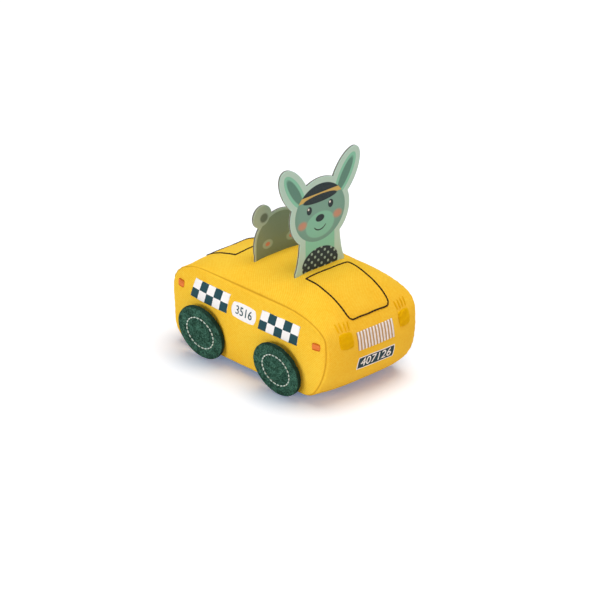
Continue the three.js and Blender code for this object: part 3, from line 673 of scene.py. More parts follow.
def driver_finish(colours, sizes):
    """Long-eared animal in a cap and a spotted scarf, in sea greens."""
    art = CardPrint("driver_print", sizes, sizes.driver_x)
    mm = in_millimetres(sizes)
    margin = mm["margin"]
    face = mm["head_middle"]

    def feature(name, side=1, shift=0.0, soft=art.blur):
        across, up, half, rise = FACE[name]
        return art.oval(side * across + shift, face + up, half, rise, 0.0, soft)

    head = art.oval(0.0, face, mm["head_half"] - margin, mm["head_rise"] - margin)
    neck = art.within(mm["neck_half"] - margin) * (1 - art.above(face))
    colour = art.mix(neck, colours.card_margin, colours.card_mint)
    colour = art.mix(head, colour, colours.card)
    for side in (-1, 1):
        lean = -side * sizes.ear_lean
        where = (side * mm["ear_out"], mm["ear_middle"])
        ear = art.oval(*where, mm["ear_half"] - margin, mm["ear_rise"] - margin, lean)
        hollow = art.oval(*where, mm["ear_half"] * 0.34, mm["ear_rise"] * 0.62, lean, 0.5)
        colour = art.mix(ear * (1 - head), colour, colours.card_mint)
        colour = art.mix(hollow * (1 - head), colour, colours.card_shadow)
    shadow = 1 - art.oval(0.0, face + 2.0, mm["head_half"] * 0.9, mm["head_rise"] * 0.9, 0.0, 9.0)
    colour = art.mix(head * shadow * 0.6, colour, colours.card_shadow)
    colour = art.mix(feature("muzzle", soft=0.6) * 0.75, colour, colours.card_mint)
    for side in (-1, 1):
        colour = art.mix(feature("cheek", side, soft=1.4) * 0.7, colour, colours.blush)
        colour = art.mix(feature("eye", side), colour, colours.card_dark)
        colour = art.mix(feature("glint", side, GLINT_SHIFT), colour, colours.white)
    colour = art.mix(feature("nose"), colour, colours.card_dark)
    smile = (feature("smile") - feature("smile_hollow")).clip()
    colour = art.mix(smile * (1 - art.above(face + SMILE_TOP)), colour, colours.card_dark)
    cap = head * art.above(face + CAP_FOOT)
    visor = feature("visor")
    band = head * art.above(face + BAND_FOOT) * (1 - art.above(face + BAND_TOP))
    colour = art.mix(cap.most(visor), colour, colours.card_dark)
    colour = art.mix(band * (1 - visor), colour, colours.card_band)
    scarf = art.oval(0.0, SCARF_MIDDLE, mm["tab_half"] - margin - SCARF_INSET, SCARF_RISE)
    colour = art.mix(scarf, colour, colours.card_dark)
    step = math.tau / SPOT_PITCH
    spot = ((art.y * step).sine() * (art.h * step).sine() * 5.0 - 2.2).clip()
    colour = art.mix(spot * scarf * 0.7, colour, colours.card_margin)
    return art.printed(colour, colours)


def passenger_finish(colours, sizes):
    """Round back of an animal with a bob tail, in olive greens."""
    art = CardPrint("passenger_print", sizes, sizes.passenger_x)
    mm = in_millimetres(sizes)
    margin = mm["back_margin"]
    back = art.oval(0.0, mm["hump_middle"], mm["hump_half"] - margin, mm["hump_rise"] - margin)
    low = art.within(mm["hump_half"] - margin) * (1 - art.above(mm["hump_middle"]))
    body = back.most(low)
    bob_at = (-mm["bob_out"], mm["bob_middle"])
    bob = art.oval(*bob_at, mm["bob_radius"] - margin, mm["bob_radius"] - margin)
    colour = art.mix(body, colours.back_margin, colours.back)
    # Painted shade: the passenger's back goes darker towards its top and sides
    shaded = 1 - art.oval(0.0, mm["hump_middle"] + 7.0, mm["hump_half"], mm["hump_rise"] * 0.8, 0.0, 8.0)
    dark = [c * 0.45 for c in colours.back]
    colour = art.mix(body * shaded * 0.25, colour, dark)
    colour = art.mix(bob, colour, colours.back_margin)
    tuft = art.oval(bob_at[0] + TUFT[0], bob_at[1] + TUFT[1], *TUFT[2:], 0.3, 1.0)
    colour = art.mix(tuft * 0.85, colour, dark)
    for side in (-1, 1):
        pad = art.oval(side * PAD[0], *PAD[1:], 0.0, 0.5)
        colour = art.mix(pad * 0.8, colour, colours.back_margin)
        dot = art.oval(side * PAD_DOT[0], *PAD_DOT[1:], 0.0, 0.4)
        colour = art.mix(dot, colour, colours.blush)
    return art.printed(colour, colours)


def floor_finish(colours):
    """Pale paper sweep: white to the eye, a little darker where it lights the car, clear from below."""
    finish = Finish("paper_sweep")
    seen = finish.seen()
    grain = finish.noise(40.0, 2.0)
    tone = finish.mix(seen, colours.floor, finish.vary(colours.floor_seen, grain, 0.004))
    glow = finish.mix(seen, (0.0, 0.0, 0.0), colours.floor_glow)
    below = finish.node("ShaderNodeNewGeometry", output="Backfacing")
    return finish.surface(tone, 0.95, emission_color=glow, emission_strength=1.0, specular_ior_level=0.0,
                          alpha=1.0 - below)


def studio_world(stage):
    """Even light from all round, seen as plain white."""
    finish = Finish("studio", bpy.data.worlds)
    white = (1.0, 1.0, 1.0)
    soft = finish.node("ShaderNodeBackground", None, {"Color": white, "Strength": stage.ambient})
    plain = finish.node("ShaderNodeBackground", None, {"Color": white, "Strength": 1.0})
    both = finish.node("ShaderNodeMixShader", None, {0: finish.seen(), 1: soft, 2: plain})
    finish.node("ShaderNodeOutputWorld", None, {"Surface": both})
    return finish.made


# Mesh helpers


def object_from(bm, name):
    """Makes a bmesh an object of the scene."""
    mesh = bpy.data.meshes.new(name)
    bm.to_mesh(mesh)
    bm.free()
    made = bpy.data.objects.new(name, mesh)
    bpy.context.scene.collection.objects.link(made)
    return made


def piece_from(bm, name, material, body="cab", smooth=True):
    """Makes a bmesh a piece of the toy that rides on a body."""
    made = object_from(bm, name)
    for polygon in made.data.polygons:
        polygon.use_smooth = smooth
    made.data.materials.append(material)
    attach(made, body)
    return made


def shaped(made):
    """The mesh of an object with its modifiers worked in, as a new mesh."""
    bpy.context.view_layer.update()
    seen = made.evaluated_get(bpy.context.evaluated_depsgraph_get())
    return bpy.data.meshes.new_from_object(seen)


class Cloth:
    """The finished cloth of the cab, for laying trim on it."""

    away = 100 * MM

    def __init__(self):
        bm = bmesh.new()
        bm.from_mesh(bpy.data.objects[CAB].data)
        self.tree = BVHTree.FromBMesh(bm)
        bm.free()

    def drop(self, point, towards):
        """Where a ray through a point, from well outside, first meets the cloth, and its normal there."""
        far = Vector(point) - Vector(towards).normalized() * self.away
        hit, normal, _, _ = self.tree.ray_cast(far, Vector(towards).normalized())
        if hit is None:
            raise RuntimeError(f"no cloth under {tuple(point)}")
        return hit, normal


def patch(cloth, name, grid, shape, towards, lift, backing, material):
    """A thin piece laid on the cloth.

    shape maps a grid from -1 to 1 to points over the cloth, and lift maps it to heights.
    """
    bm = bmesh.new()
    uv = bm.loops.layers.uv.new("cloth")
    bmesh.ops.create_grid(bm, x_segments=grid[0], y_segments=grid[1], size=1.0)
    for face in bm.faces:
        for loop in face.loops:
            loop[uv].uv = ((loop.vert.co.x + 1) / 2, (loop.vert.co.y + 1) / 2)
    for vert in bm.verts:
        a, b = vert.co.x, vert.co.y
        hit, normal = cloth.drop(shape(a, b), towards)
        vert.co = hit + normal * lift(a, b)
    face_outwards(bm, towards)
    bmesh.ops.solidify(bm, geom=bm.faces[:], thickness=backing)
    bmesh.ops.recalc_face_normals(bm, faces=bm.faces)
    piece_from(bm, name, material)


def face_outwards(bm, towards):
    """Turns each face of an open sheet against the direction that it was laid in."""
    bm.normal_update()
    outward = -Vector(towards)
    bmesh.ops.reverse_faces(bm, faces=[f for f in bm.faces if f.normal.dot(outward) < 0])


def flat_lift(height):
    """The same height all over a patch."""
    return lambda a, b: height


def satin_lift(threads, rise, ridge):
    """Height of padded satin stitch: threads side by side, which sink towards the edge of the block."""

    def lift(a, b):
        pad = math.sqrt(max(0.0, 1 - max(abs(a), abs(b)) ** 4))
        return rise * (0.25 + 0.75 * pad) + ridge * abs(math.sin(math.pi * threads * (a + 1) / 2))

    return lift


def bar_lift(bars, base, rise):
    """Height of upright bars over a patch: a bar in the middle of each column."""

    def lift(a, b):
        wave = 0.5 - 0.5 * math.cos(math.tau * bars * (a + 1) / 2)
        return base + rise * math.sqrt(wave)

    return lift


def side_quad(corners):
    """Maps a grid to four corners on the side of the car: the lower rear and front, then the upper ones."""
    low_left, low_right, high_left, high_right = (Vector(corner) * MM for corner in corners)

    def place(a, b):
        low = low_left.lerp(low_right, (a + 1) / 2)
        high = high_left.lerp(high_right, (a + 1) / 2)
        x, z = low.lerp(high, (b + 1) / 2)
        return x, 0.0, z

    return place


def side_block(x, z, width, tall, squareness):
    """Maps a grid to a rounded block on the side of the car."""

    def place(a, b):
        u, v = superround(a, b, squareness)
        return x + u * width / 2, 0.0, z + v * tall / 2

    return place


def front_block(y, z, width, tall, squareness, threads=0, ragged=0.06):
    """Maps a grid to a rounded block on the nose. The ends of its threads, if any, are a little uneven."""

    def place(a, b):
        length_share = 1.0
        if threads:
            thread = math.floor(threads * (a + 1) / 2)
            length_share += ragged * noise.noise(Vector((thread * 3.7, y / MM, 1.3)))
        u, v = superround(a, b * length_share, squareness)
        return 0.0, y + u * width / 2, z + v * tall / 2

    return place


def rounded(a, b):
    """A point of a square from -1 to 1, moved into a round disc."""
    return a * math.sqrt(1 - b * b / 2), b * math.sqrt(1 - a * a / 2)


def superround(a, b, squareness):
    """A point of a square, moved part of the way into a disc."""
    x, y = rounded(a, b)
    return a * squareness + x * (1 - squareness), b * squareness + y * (1 - squareness)


def add_stitch(bm, start, end, out, radius, rise):
    """One thread stitch between two points on a surface. Its middle is raised by a share of its radius."""
    along = end - start
    tall = out.normalized()
    side = along.normalized().cross(tall).normalized()
    tall = side.cross(along.normalized())
    turn = Matrix((along.normalized(), side, tall)).transposed().to_4x4()
    middle = (start + end) / 2 + tall * radius * rise
    grow = Matrix.Diagonal((along.length / 2, radius, radius, 1.0))
    place = Matrix.Translation(middle) @ turn @ grow
    bmesh.ops.create_uvsphere(bm, u_segments=8, v_segments=6, radius=1.0,
                              matrix=place @ Matrix.Rotation(math.pi / 2, 4, "Y"))


def running_lengths(points):
    """Distance along a run of points, at each of them."""
    lengths = [0.0]
    for first, second in zip(points, points[1:]):
        lengths.append(lengths[-1] + (second - first).length)
    return lengths


def point_along(points, lengths, goal):
    """The point at a distance along a run of points."""
    k = min(bisect.bisect_right(lengths, goal), len(points) - 1)
    share = (goal - lengths[k - 1]) / max(TINY, lengths[k] - lengths[k - 1])
    return points[k - 1].lerp(points[k], share)


def resample(points, step):
    """Points at an even step along a run of points."""
    lengths = running_lengths(points)
    count = max(2, round(lengths[-1] / step))
    return [point_along(points, lengths, lengths[-1] * i / count) for i in range(count + 1)]


def stitched_line(cloth, name, plan, towards, sizes, material, overlap=0.3):
    """A line of stem stitches, each overlapping the next, along plan points dropped on the cloth."""
    path = resample([Vector(p) for p in plan], sizes.line_stitch)
    ground = [cloth.drop(p, towards) for p in path]
    bm = bmesh.new()
    for (start, normal), (end, _) in zip(ground, ground[1:]):
        over = (end - start) * overlap
        add_stitch(bm, start - over, end + over, normal, sizes.line, 0.3)
    piece_from(bm, name, material)


def corner_arc(middle_x, middle_y, radius, first, last, steps=6):
    """Plan points of a rounded corner, from one angle to another in degrees."""
    angles = [math.radians(first + (last - first) * i / steps) for i in range(steps + 1)]
    return [(middle_x + radius * math.cos(a), middle_y + radius * math.sin(a)) for a in angles]


# Outlines of the cab


class Outline:
    """Closed side view of the cab, in X and Z: straight edges and rounded corners.

    A corner is its run, its rise and its fullness, which is 2 for a quarter of an oval.
    """

    overlap = 1e-6

    def __init__(self, front, rear, top, bottom, bonnet, chin, boot, tail):
        corners = [
            (front - chin[0], bottom + chin[1], chin),
            (front - bonnet[0], top - bonnet[1], bonnet),
            (rear + boot[0], top - boot[1], boot),
            (rear + tail[0], bottom + tail[1], tail),
        ]
        steps = 40
        points = []
        for quarter, (x, z, (run, rise, fullness)) in enumerate(corners):
            for i in range(steps + 1):
                angle = (quarter - 1 + i / steps) * math.pi / 2
                turns = (math.cos(angle), math.sin(angle))
                across, up = (math.copysign(abs(turn) ** (2 / fullness), turn) for turn in turns)
                points.append(Vector((x + run * across, z + rise * up)))
        foot = Vector((0.0, bottom * MM))
        self.points = [foot, *(p * MM for p in points), foot]
        self.lengths = running_lengths(self.points)
        self.length = self.lengths[-1]

    def at(self, share):
        """The point at a share of the way round, from the middle of the underside, front first."""
        return point_along(self.points, self.lengths, (share % 1.0) * self.length)

    def reach(self, middle, direction):
        """Distance from a point inside to the outline, along a direction."""
        found = 0.0
        for p, q in zip(self.points, self.points[1:]):
            edge = q - p
            start = p - middle
            across = direction.x * edge.y - direction.y * edge.x
            if abs(across) < TINY:
                continue
            along = (start.x * edge.y - start.y * edge.x) / across
            share = (start.x * direction.y - start.y * direction.x) / across
            if along > 0 and -self.overlap < share < 1 + self.overlap:
                found = max(found, along)
        return found


# Side views in millimetres: the line of the side seams, and the strip between them along the middle
SEAM = {
    "front": 55.2, "rear": -56.5, "top": 47.5, "bottom": 3.3,
    "bonnet": (31.5, 12, 2.4), "chin": (16.5, 26.5, 1.9), "boot": (25, 19, 2.4), "tail": (9, 12, 2),
}
CROWN = {
    "front": 60.5, "rear": -60.5, "top": 57.2, "bottom": 3.3,
    "bonnet": (34, 30, 2.2), "chin": (18, 28, 1.9), "boot": (75, 29, 2.15), "tail": (11, 14, 2),
}
# Forward shares of a direction between which the roof's flatness gives way to that of the nose or tail
CROWN_BLEND = (0.45, 0.9)


def above_underside(margin):
    """The height at a margin in millimetres above the cab's flat underside."""
    return SEAM["bottom"] * MM + margin * MM


class CabShape:
    """Surface of the stuffed cab before the stuffing swells it."""

    far_from_seam = 20 * MM

    def __init__(self, sizes):
        self.sizes = sizes
        self.seam = Outline(**SEAM)
        self.crown = Outline(**CROWN)
        self.middle = Vector((0.0, sizes.middle_height))
        self.crowns = {}

    def side_reach(self, x, z):
        """Half the width of the cab at a point of its side view."""
        low, high = SEAM["bottom"] * MM, SEAM["top"] * MM
        height = (z - low) / (high - low)
        bottom, top = self.sizes.seam_half_bottom, self.sizes.seam_half_top
        seam = bottom + (top - bottom) * height
        dx, dz = x - self.middle.x, z - self.middle.y
        along = dx / ((SEAM["front"] if dx > 0 else SEAM["rear"]) * MM)
        upright = dz / ((high if dz > 0 else low) - self.middle.y)
        return seam + self.sizes.side_bulge * (1 - along**4) * (1 - upright**2)

    def disc_normal(self, x, z):
        """The way a disc on the left faces: it leans with its side, and doesn't turn with its taper."""
        step = 0.5 * MM
        slope = (self.side_reach(x, z + step) - self.side_reach(x, z - step)) / (2 * step)
        return Vector((0.0, 1.0, -slope)).normalized()

    def crown_power(self, forward):
        """Flatness of the strip in a direction, whose forward share is -1 at the tail and 1 at the nose."""
        low, high = CROWN_BLEND
        share = min(1.0, max(0.0, (abs(forward) - low) / (high - low)))
        share *= share * (3 - 2 * share)
        end = self.sizes.nose_power if forward > 0 else self.sizes.tail_power
        return self.sizes.crown_power + (end - self.sizes.crown_power) * share

    def wrap_point(self, share, across):
        """Point of the strip over bonnet, roof and tail, and its distance from the nearer seam."""
        key = round(share % 1.0, 6)
        if key not in self.crowns:
            seam = self.seam.at(key)
            out = seam - self.middle
            crown = self.crown.reach(self.middle, out.normalized())
            self.crowns[key] = (seam, out.length, crown, out.normalized())
        seam, near, far, out = self.crowns[key]
        distance = near + (far - near) * (1 - abs(across) ** self.crown_power(out.x))
        half = self.side_reach(seam.x, seam.y)
        place = self.middle + out * distance
        return Vector((place.x, across * half, place.y)), (1 - abs(across)) * half

    def side_point(self, a, b, side):
        """Point of a side panel from a square grid, its distance from the seam and its share round it."""
        ring = max(abs(a), abs(b))
        if ring < TINY:
            middle = Vector((0.0, side * self.side_reach(0.0, self.middle.y), self.middle.y))
            return middle, self.far_from_seam, 0.0
        share = square_share(a / ring, b / ring)
        edge = self.seam.at(share) - self.middle
        place = self.middle + edge * ring
        return (
            Vector((place.x, side * self.side_reach(place.x, place.y), place.y)),
            (1 - ring) * edge.length,
            share,
        )


def square_share(a, b):
    """Share of the way round a square's edge, from the middle of its lower side, right first."""
    if b <= -1 + SQUARE_EDGE:
        run = a
    elif a >= 1 - SQUARE_EDGE:
        run = 1 + (b + 1)
    elif b >= 1 - SQUARE_EDGE:
        run = 3 + (1 - a)
    else:
        run = 5 + (1 - b)
    return (run / 8) % 1.0


# Operators, one for each group of pieces


# Cloth settings of the twill while it is stuffed
FABRIC = {
    "quality": 5,
    "mass": 0.3,
    "tension_stiffness": 18.0,
    "compression_stiffness": 18.0,
    "shear_stiffness": 6.0,
    "bending_stiffness": 0.6,
    "air_damping": 3.0,
    "use_pressure": True,
    "uniform_pressure_force": 4.0,
    "shrink_min": -0.015,
}


class TOYCAR_OT_cab(bpy.types.Operator):
    """Sew and stuff the cloth cab"""

    bl_idname = "toycar.cab"
    bl_label = "Stuffed cab"

    def execute(self, context):
        settings = context.scene.toy_car
        sizes = settings.cab
        shape = CabShape(sizes)
        bm = self.sew(shape, sizes)
        cab = piece_from(bm, CAB, twill_finish(settings.colour))
        self.stuff(context, cab, sizes)
        self.refine(cab)
        self.tighten(cab, sizes, settings.card)
        self.open_pocket(cab, sizes)
        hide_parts("wrap_panel", "side_panel_left", "side_panel_right", "bottom_panel", "stuffing")
        return {"FINISHED"}

    def sew(self, shape, sizes):
        """The strip and both sides as one closed skin, with the flat cloth as its UV map."""
        bm = bmesh.new()
        uv = bm.loops.layers.uv.new("cloth")
        distance = bm.verts.layers.float.new("seam_distance")
        along = bm.verts.layers.float.new("seam_along")
        quarter = sizes.around // 4
        bmesh.ops.create_grid(bm, x_segments=sizes.around, y_segments=sizes.across, size=1.0)
        for face in bm.faces:
            for loop in face.loops:
                share = (loop.vert.co.x + 1) / 2
                loop[uv].uv = (loop.vert.co.y * sizes.seam_half_bottom, share * shape.seam.length)
        for vert in bm.verts:
            share = (vert.co.x + 1) / 2
            vert.co, vert[distance] = shape.wrap_point(share, vert.co.y)
            vert[along] = share * shape.seam.length
        for side in (-1, 1):
            made = bmesh.ops.create_grid(bm, x_segments=quarter, y_segments=quarter, size=1.0)
            for vert in made["verts"]:
                vert.co, vert[distance], share = shape.side_point(vert.co.x, vert.co.y, side)
                vert[along] = share * shape.seam.length
            for face in {f for v in made["verts"] for f in v.link_faces}:
                for loop in face.loops:
                    loop[uv].uv = (loop.vert.co.x, loop.vert.co.z)
        bmesh.ops.remove_doubles(bm, verts=bm.verts, dist=0.02 * MM)
        bmesh.ops.recalc_face_normals(bm, faces=bm.faces)
        return bm

    def stuff(self, context, cab, sizes):
        """Swell the cloth with a pressure simulation, and take the result into the mesh.

        The trial is several times the real size, at which the cloth solver is steady.
        """
        grow = 6.0
        frames = 20
        slack_fade = 6 * MM
        seam_hold = 0.75
        mesh = cab.data.copy()
        trial = bpy.data.objects.new("stuffing_trial", mesh)
        context.scene.collection.objects.link(trial)
        seams = mesh.attributes["seam_distance"].data
        start = [v.co.copy() for v in mesh.vertices]
        normals = [v.normal.copy() for v in mesh.vertices]
        for vert, normal, seam in zip(mesh.vertices, normals, seams):
            vert.co = (vert.co - normal * sizes.slack * min(1.0, seam.value / slack_fade)) * grow
        held = trial.vertex_groups.new(name="held")
        floor = above_underside(0.4)
        held.add([i for i, p in enumerate(start) if p.z < floor], 1.0, "REPLACE")
        held.add([i for i, s in enumerate(seams) if s.value < 0.3 * MM], seam_hold, "REPLACE")
        cloth = trial.modifiers.new("cloth", "CLOTH")
        for key, value in FABRIC.items():
            setattr(cloth.settings, key, value)
        cloth.settings.vertex_group_mass = "held"
        cloth.settings.effector_weights.gravity = 0.0
        cloth.collision_settings.use_self_collision = False
        for step in range(1, frames + 1):
            context.scene.frame_set(step)
        seen = trial.evaluated_get(context.evaluated_depsgraph_get())
        for vert, place, swollen in zip(cab.data.vertices, start, seen.data.vertices):
            move = swollen.co / grow - place
            if move.length > sizes.swell:
                move = move.normalized() * sizes.swell
            vert.co = place + move
        context.scene.frame_set(1)
        bpy.data.objects.remove(trial)
        bpy.data.meshes.remove(mesh)

    def refine(self, cab):
        """One step of subdivision, worked into the mesh."""
        step = cab.modifiers.new("finer", "SUBSURF")
        step.levels = 1
        step.render_levels = 1
        step.uv_smooth = "NONE"
        mesh = shaped(cab)
        cab.modifiers.clear()
        old = cab.data
        cab.data = mesh
        mesh.name = old.name
        bpy.data.meshes.remove(old)

    def tighten(self, cab, sizes, card):
        """Seam creases with small gathers, soft dents in the stuffing and the pull of the cards' slits."""
        floor = above_underside(0.3)
        floor_fade = 6 * MM
        gather_reach = 3.5 * MM
        gather_start = 0.8 * MM
        slit_end = 2.5 * MM
        slit_reach = 2.2 * MM
        sway_scale = 90
        dent_scale = 62
        small_dent_scale = 150
        small_dent_shift = Vector((7, 3, 1))
        mesh = cab.data
        distance = mesh.attributes["seam_distance"].data
        along = mesh.attributes["seam_along"].data
        normals = [v.normal.copy() for v in mesh.vertices]
        for vert, normal, near, run in zip(mesh.vertices, normals, distance, along):
            if vert.co.z < floor:
                continue
            lift = min(1.0, (vert.co.z - floor) / floor_fade)
            crease = -sizes.seam_depth * math.exp(-((near.value / sizes.seam_reach) ** 2))
            sway = 2.5 * noise.noise(vert.co * sway_scale)
            wave = math.sin(math.tau * run.value / sizes.pucker_pitch + sway)
            gather = sizes.pucker * wave * math.exp(-near.value / gather_reach)
            gather *= min(1.0, near.value / gather_start)
            small = noise.noise(vert.co * small_dent_scale + small_dent_shift)
            dent = sizes.dent * (noise.noise(vert.co * dent_scale) + 0.4 * small)
            pull = 0.0
            if normal.z > 0.5:
                across = max(0.0, abs(vert.co.y) - card.tab_half) / slit_end
                for place in (card.driver_x, card.passenger_x):
                    away = abs(vert.co.x - place) / slit_reach
                    pull -= sizes.slit_pull * math.exp(-(across**2) - away**2)
            vert.co += normal * (lift * (crease + gather + dent) + pull)
        mesh.update()

    def open_pocket(self, cab, sizes):
        """The hollow in the underside that the chassis sits in."""
        room = 0.4 * MM
        low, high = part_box("chassis_tray")
        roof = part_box("chassis_cover")[1].z + room
        rear, front = low.x + sizes.clamp_width, high.x - sizes.clamp_width
        right, left = low.y + sizes.clamp_width, high.y - sizes.clamp_width
        bm = bmesh.new()
        bm.from_mesh(cab.data)
        planes = [((rear, 0, 0), (1, 0, 0)), ((front, 0, 0), (1, 0, 0)),
                  ((0, right, 0), (0, 1, 0)), ((0, left, 0), (0, 1, 0))]
        under = above_underside(0.25)
        for point, normal in planes:
            flat = [f for f in bm.faces if all(v.co.z < under for v in f.verts)]
            parts = set(flat)
            for face in flat:
                parts.update(face.edges)
                parts.update(face.verts)
            bmesh.ops.bisect_plane(bm, geom=list(parts), plane_co=point, plane_no=normal, dist=1e-7)
        inside = []
        for face in bm.faces:
            middle = face.calc_center_median()
            if middle.z < under and rear < middle.x < front and right < middle.y < left:
                inside.append(face)
        made = bmesh.ops.extrude_face_region(bm, geom=inside)
        for part in made["geom"]:
            if isinstance(part, bmesh.types.BMVert):
                part.co.z = roof
        bmesh.ops.delete(bm, geom=[f for f in inside if f.is_valid], context="FACES")
        bmesh.ops.recalc_face_normals(bm, faces=bm.faces)
        bm.to_mesh(cab.data)
        bm.free()


class TOYCAR_OT_discs(bpy.types.Operator):
    """Cut the felt wheel discs and sew them on"""

    bl_idname = "toycar.discs"
    bl_label = "Felt discs"

    def execute(self, context):
        settings = context.scene.toy_car
        sizes = settings.disc
        shape = CabShape(settings.cab)
        felt = felt_finish(settings.colour)
        thread = thread_finish("mint_thread", settings.colour.stitch, 0.5)
        ends = {"rear": (sizes.rear, sizes.rear_height), "front": (sizes.front, sizes.front_height)}
        for end, (x, z) in ends.items():
            for side, word in ((1, "left"), (-1, "right")):
                place = self.seat(shape, sizes, x, z, side)
                disc = self.disc(sizes, place, f"felt_{end}_{word}", felt)
                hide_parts(f"felt_disc_{end}_{word}")
                self.ring(sizes, place, f"stitch_ring_{end}_{word}", thread)
        return {"FINISHED"}

    def seat(self, shape, sizes, x, z, side):
        """Place of a disc: its back stands a little off the cab's side, its axis near the side's normal."""
        tip = Matrix.Rotation(-sizes.turn, 3, "Z") @ Matrix.Rotation(-sizes.lean, 3, "X")
        normal = tip @ shape.disc_normal(x, z)
        seat = Vector((x, shape.side_reach(x, z), z)) + normal * sizes.stand
        normal.y *= side
        seat.y *= side
        upright = Vector((0, 0, 1))
        across = upright.cross(normal).normalized()
        turn = Matrix((across, normal.cross(across), normal)).transposed().to_4x4()
        return Matrix.Translation(seat) @ turn

    def disc(self, sizes, place, name, material):
        """A puffed disc, spun from its section, with a channel under the stitches."""
        rings = 20
        back_step = 4
        edge_steps = 8
        spin_steps = 88
        edge_fullness = 0.7
        droop_power = 5
        fluff_scale = 420
        fine_fluff_scale = 1100
        bm = bmesh.new()
        rim = sizes.radius - sizes.edge
        section = [(rim * i / rings, 0.0) for i in range(0, rings + 1, back_step)]
        for i in range(1, edge_steps):
            turn = -math.pi / 2 + math.pi * i / edge_steps
            tall = (sizes.felt - sizes.droop) * (0.5 + 0.5 * math.sin(turn))
            section.append((rim + sizes.edge * math.cos(turn) ** edge_fullness, tall))
        for i in range(rings, -1, -1):
            radius = rim * i / rings
            channel = sizes.channel * math.exp(-(((radius - sizes.ring) / sizes.channel_reach) ** 2))
            droop = sizes.droop * (radius / rim) ** droop_power
            section.append((radius, sizes.felt - channel - droop))
        verts = [bm.verts.new((r, 0.0, h)) for r, h in section]
        edges = [bm.edges.new(pair) for pair in zip(verts, verts[1:])]
        bmesh.ops.spin(bm, geom=verts + edges, cent=(0, 0, 0), axis=(0, 0, 1), angle=math.tau,
                       steps=spin_steps, use_merge=True)
        bmesh.ops.remove_doubles(bm, verts=bm.verts, dist=0.01 * MM)
        bmesh.ops.recalc_face_normals(bm, faces=bm.faces)
        # This marks the felt's rounded rim, which the felt finish paints darker as shade
        cut = bm.verts.layers.float.new("cut_edge")
        for vert in bm.verts:
            past = (vert.co.xy.length - rim) / sizes.edge
            vert[cut] = min(1.0, max(0.0, past * 2))
        bmesh.ops.transform(bm, matrix=place, verts=bm.verts)
        bm.normal_update()
        shifts = {}
        for vert in bm.verts:
            fine = noise.noise(vert.co * fine_fluff_scale)
            rough = noise.noise(vert.co * fluff_scale) * 0.6 + fine * 0.4
            shifts[vert] = vert.normal * rough * sizes.fluff
        for vert, shift in shifts.items():
            vert.co += shift
        return piece_from(bm, name, material)

    def ring(self, sizes, place, name, material):
        """Running stitches, each sunk a little in the felt and turned slightly off the ring."""
        unevenness = 0.10
        slant = 0.12
        out = place.to_3x3() @ Vector((0, 0, 1))
        bm = bmesh.new()
        top = sizes.felt - sizes.channel * 0.6
        for i in range(sizes.stitches):
            middle = math.tau * i / sizes.stitches
            tilt = unevenness * noise.noise(Vector((i * 1.7, sizes.ring * 900, place[0][3] * 700)))
            half = sizes.stitch / 2 * (1 + tilt)
            ends = []
            for way in (-1, 1):
                angle = middle + way * half / sizes.ring
                radius = sizes.ring * (1 + way * tilt * slant)
                ends.append(place @ Vector((radius * math.cos(angle), radius * math.sin(angle), top)))
            add_stitch(bm, *ends, out, sizes.thread, 0.2)
        piece_from(bm, name, material)


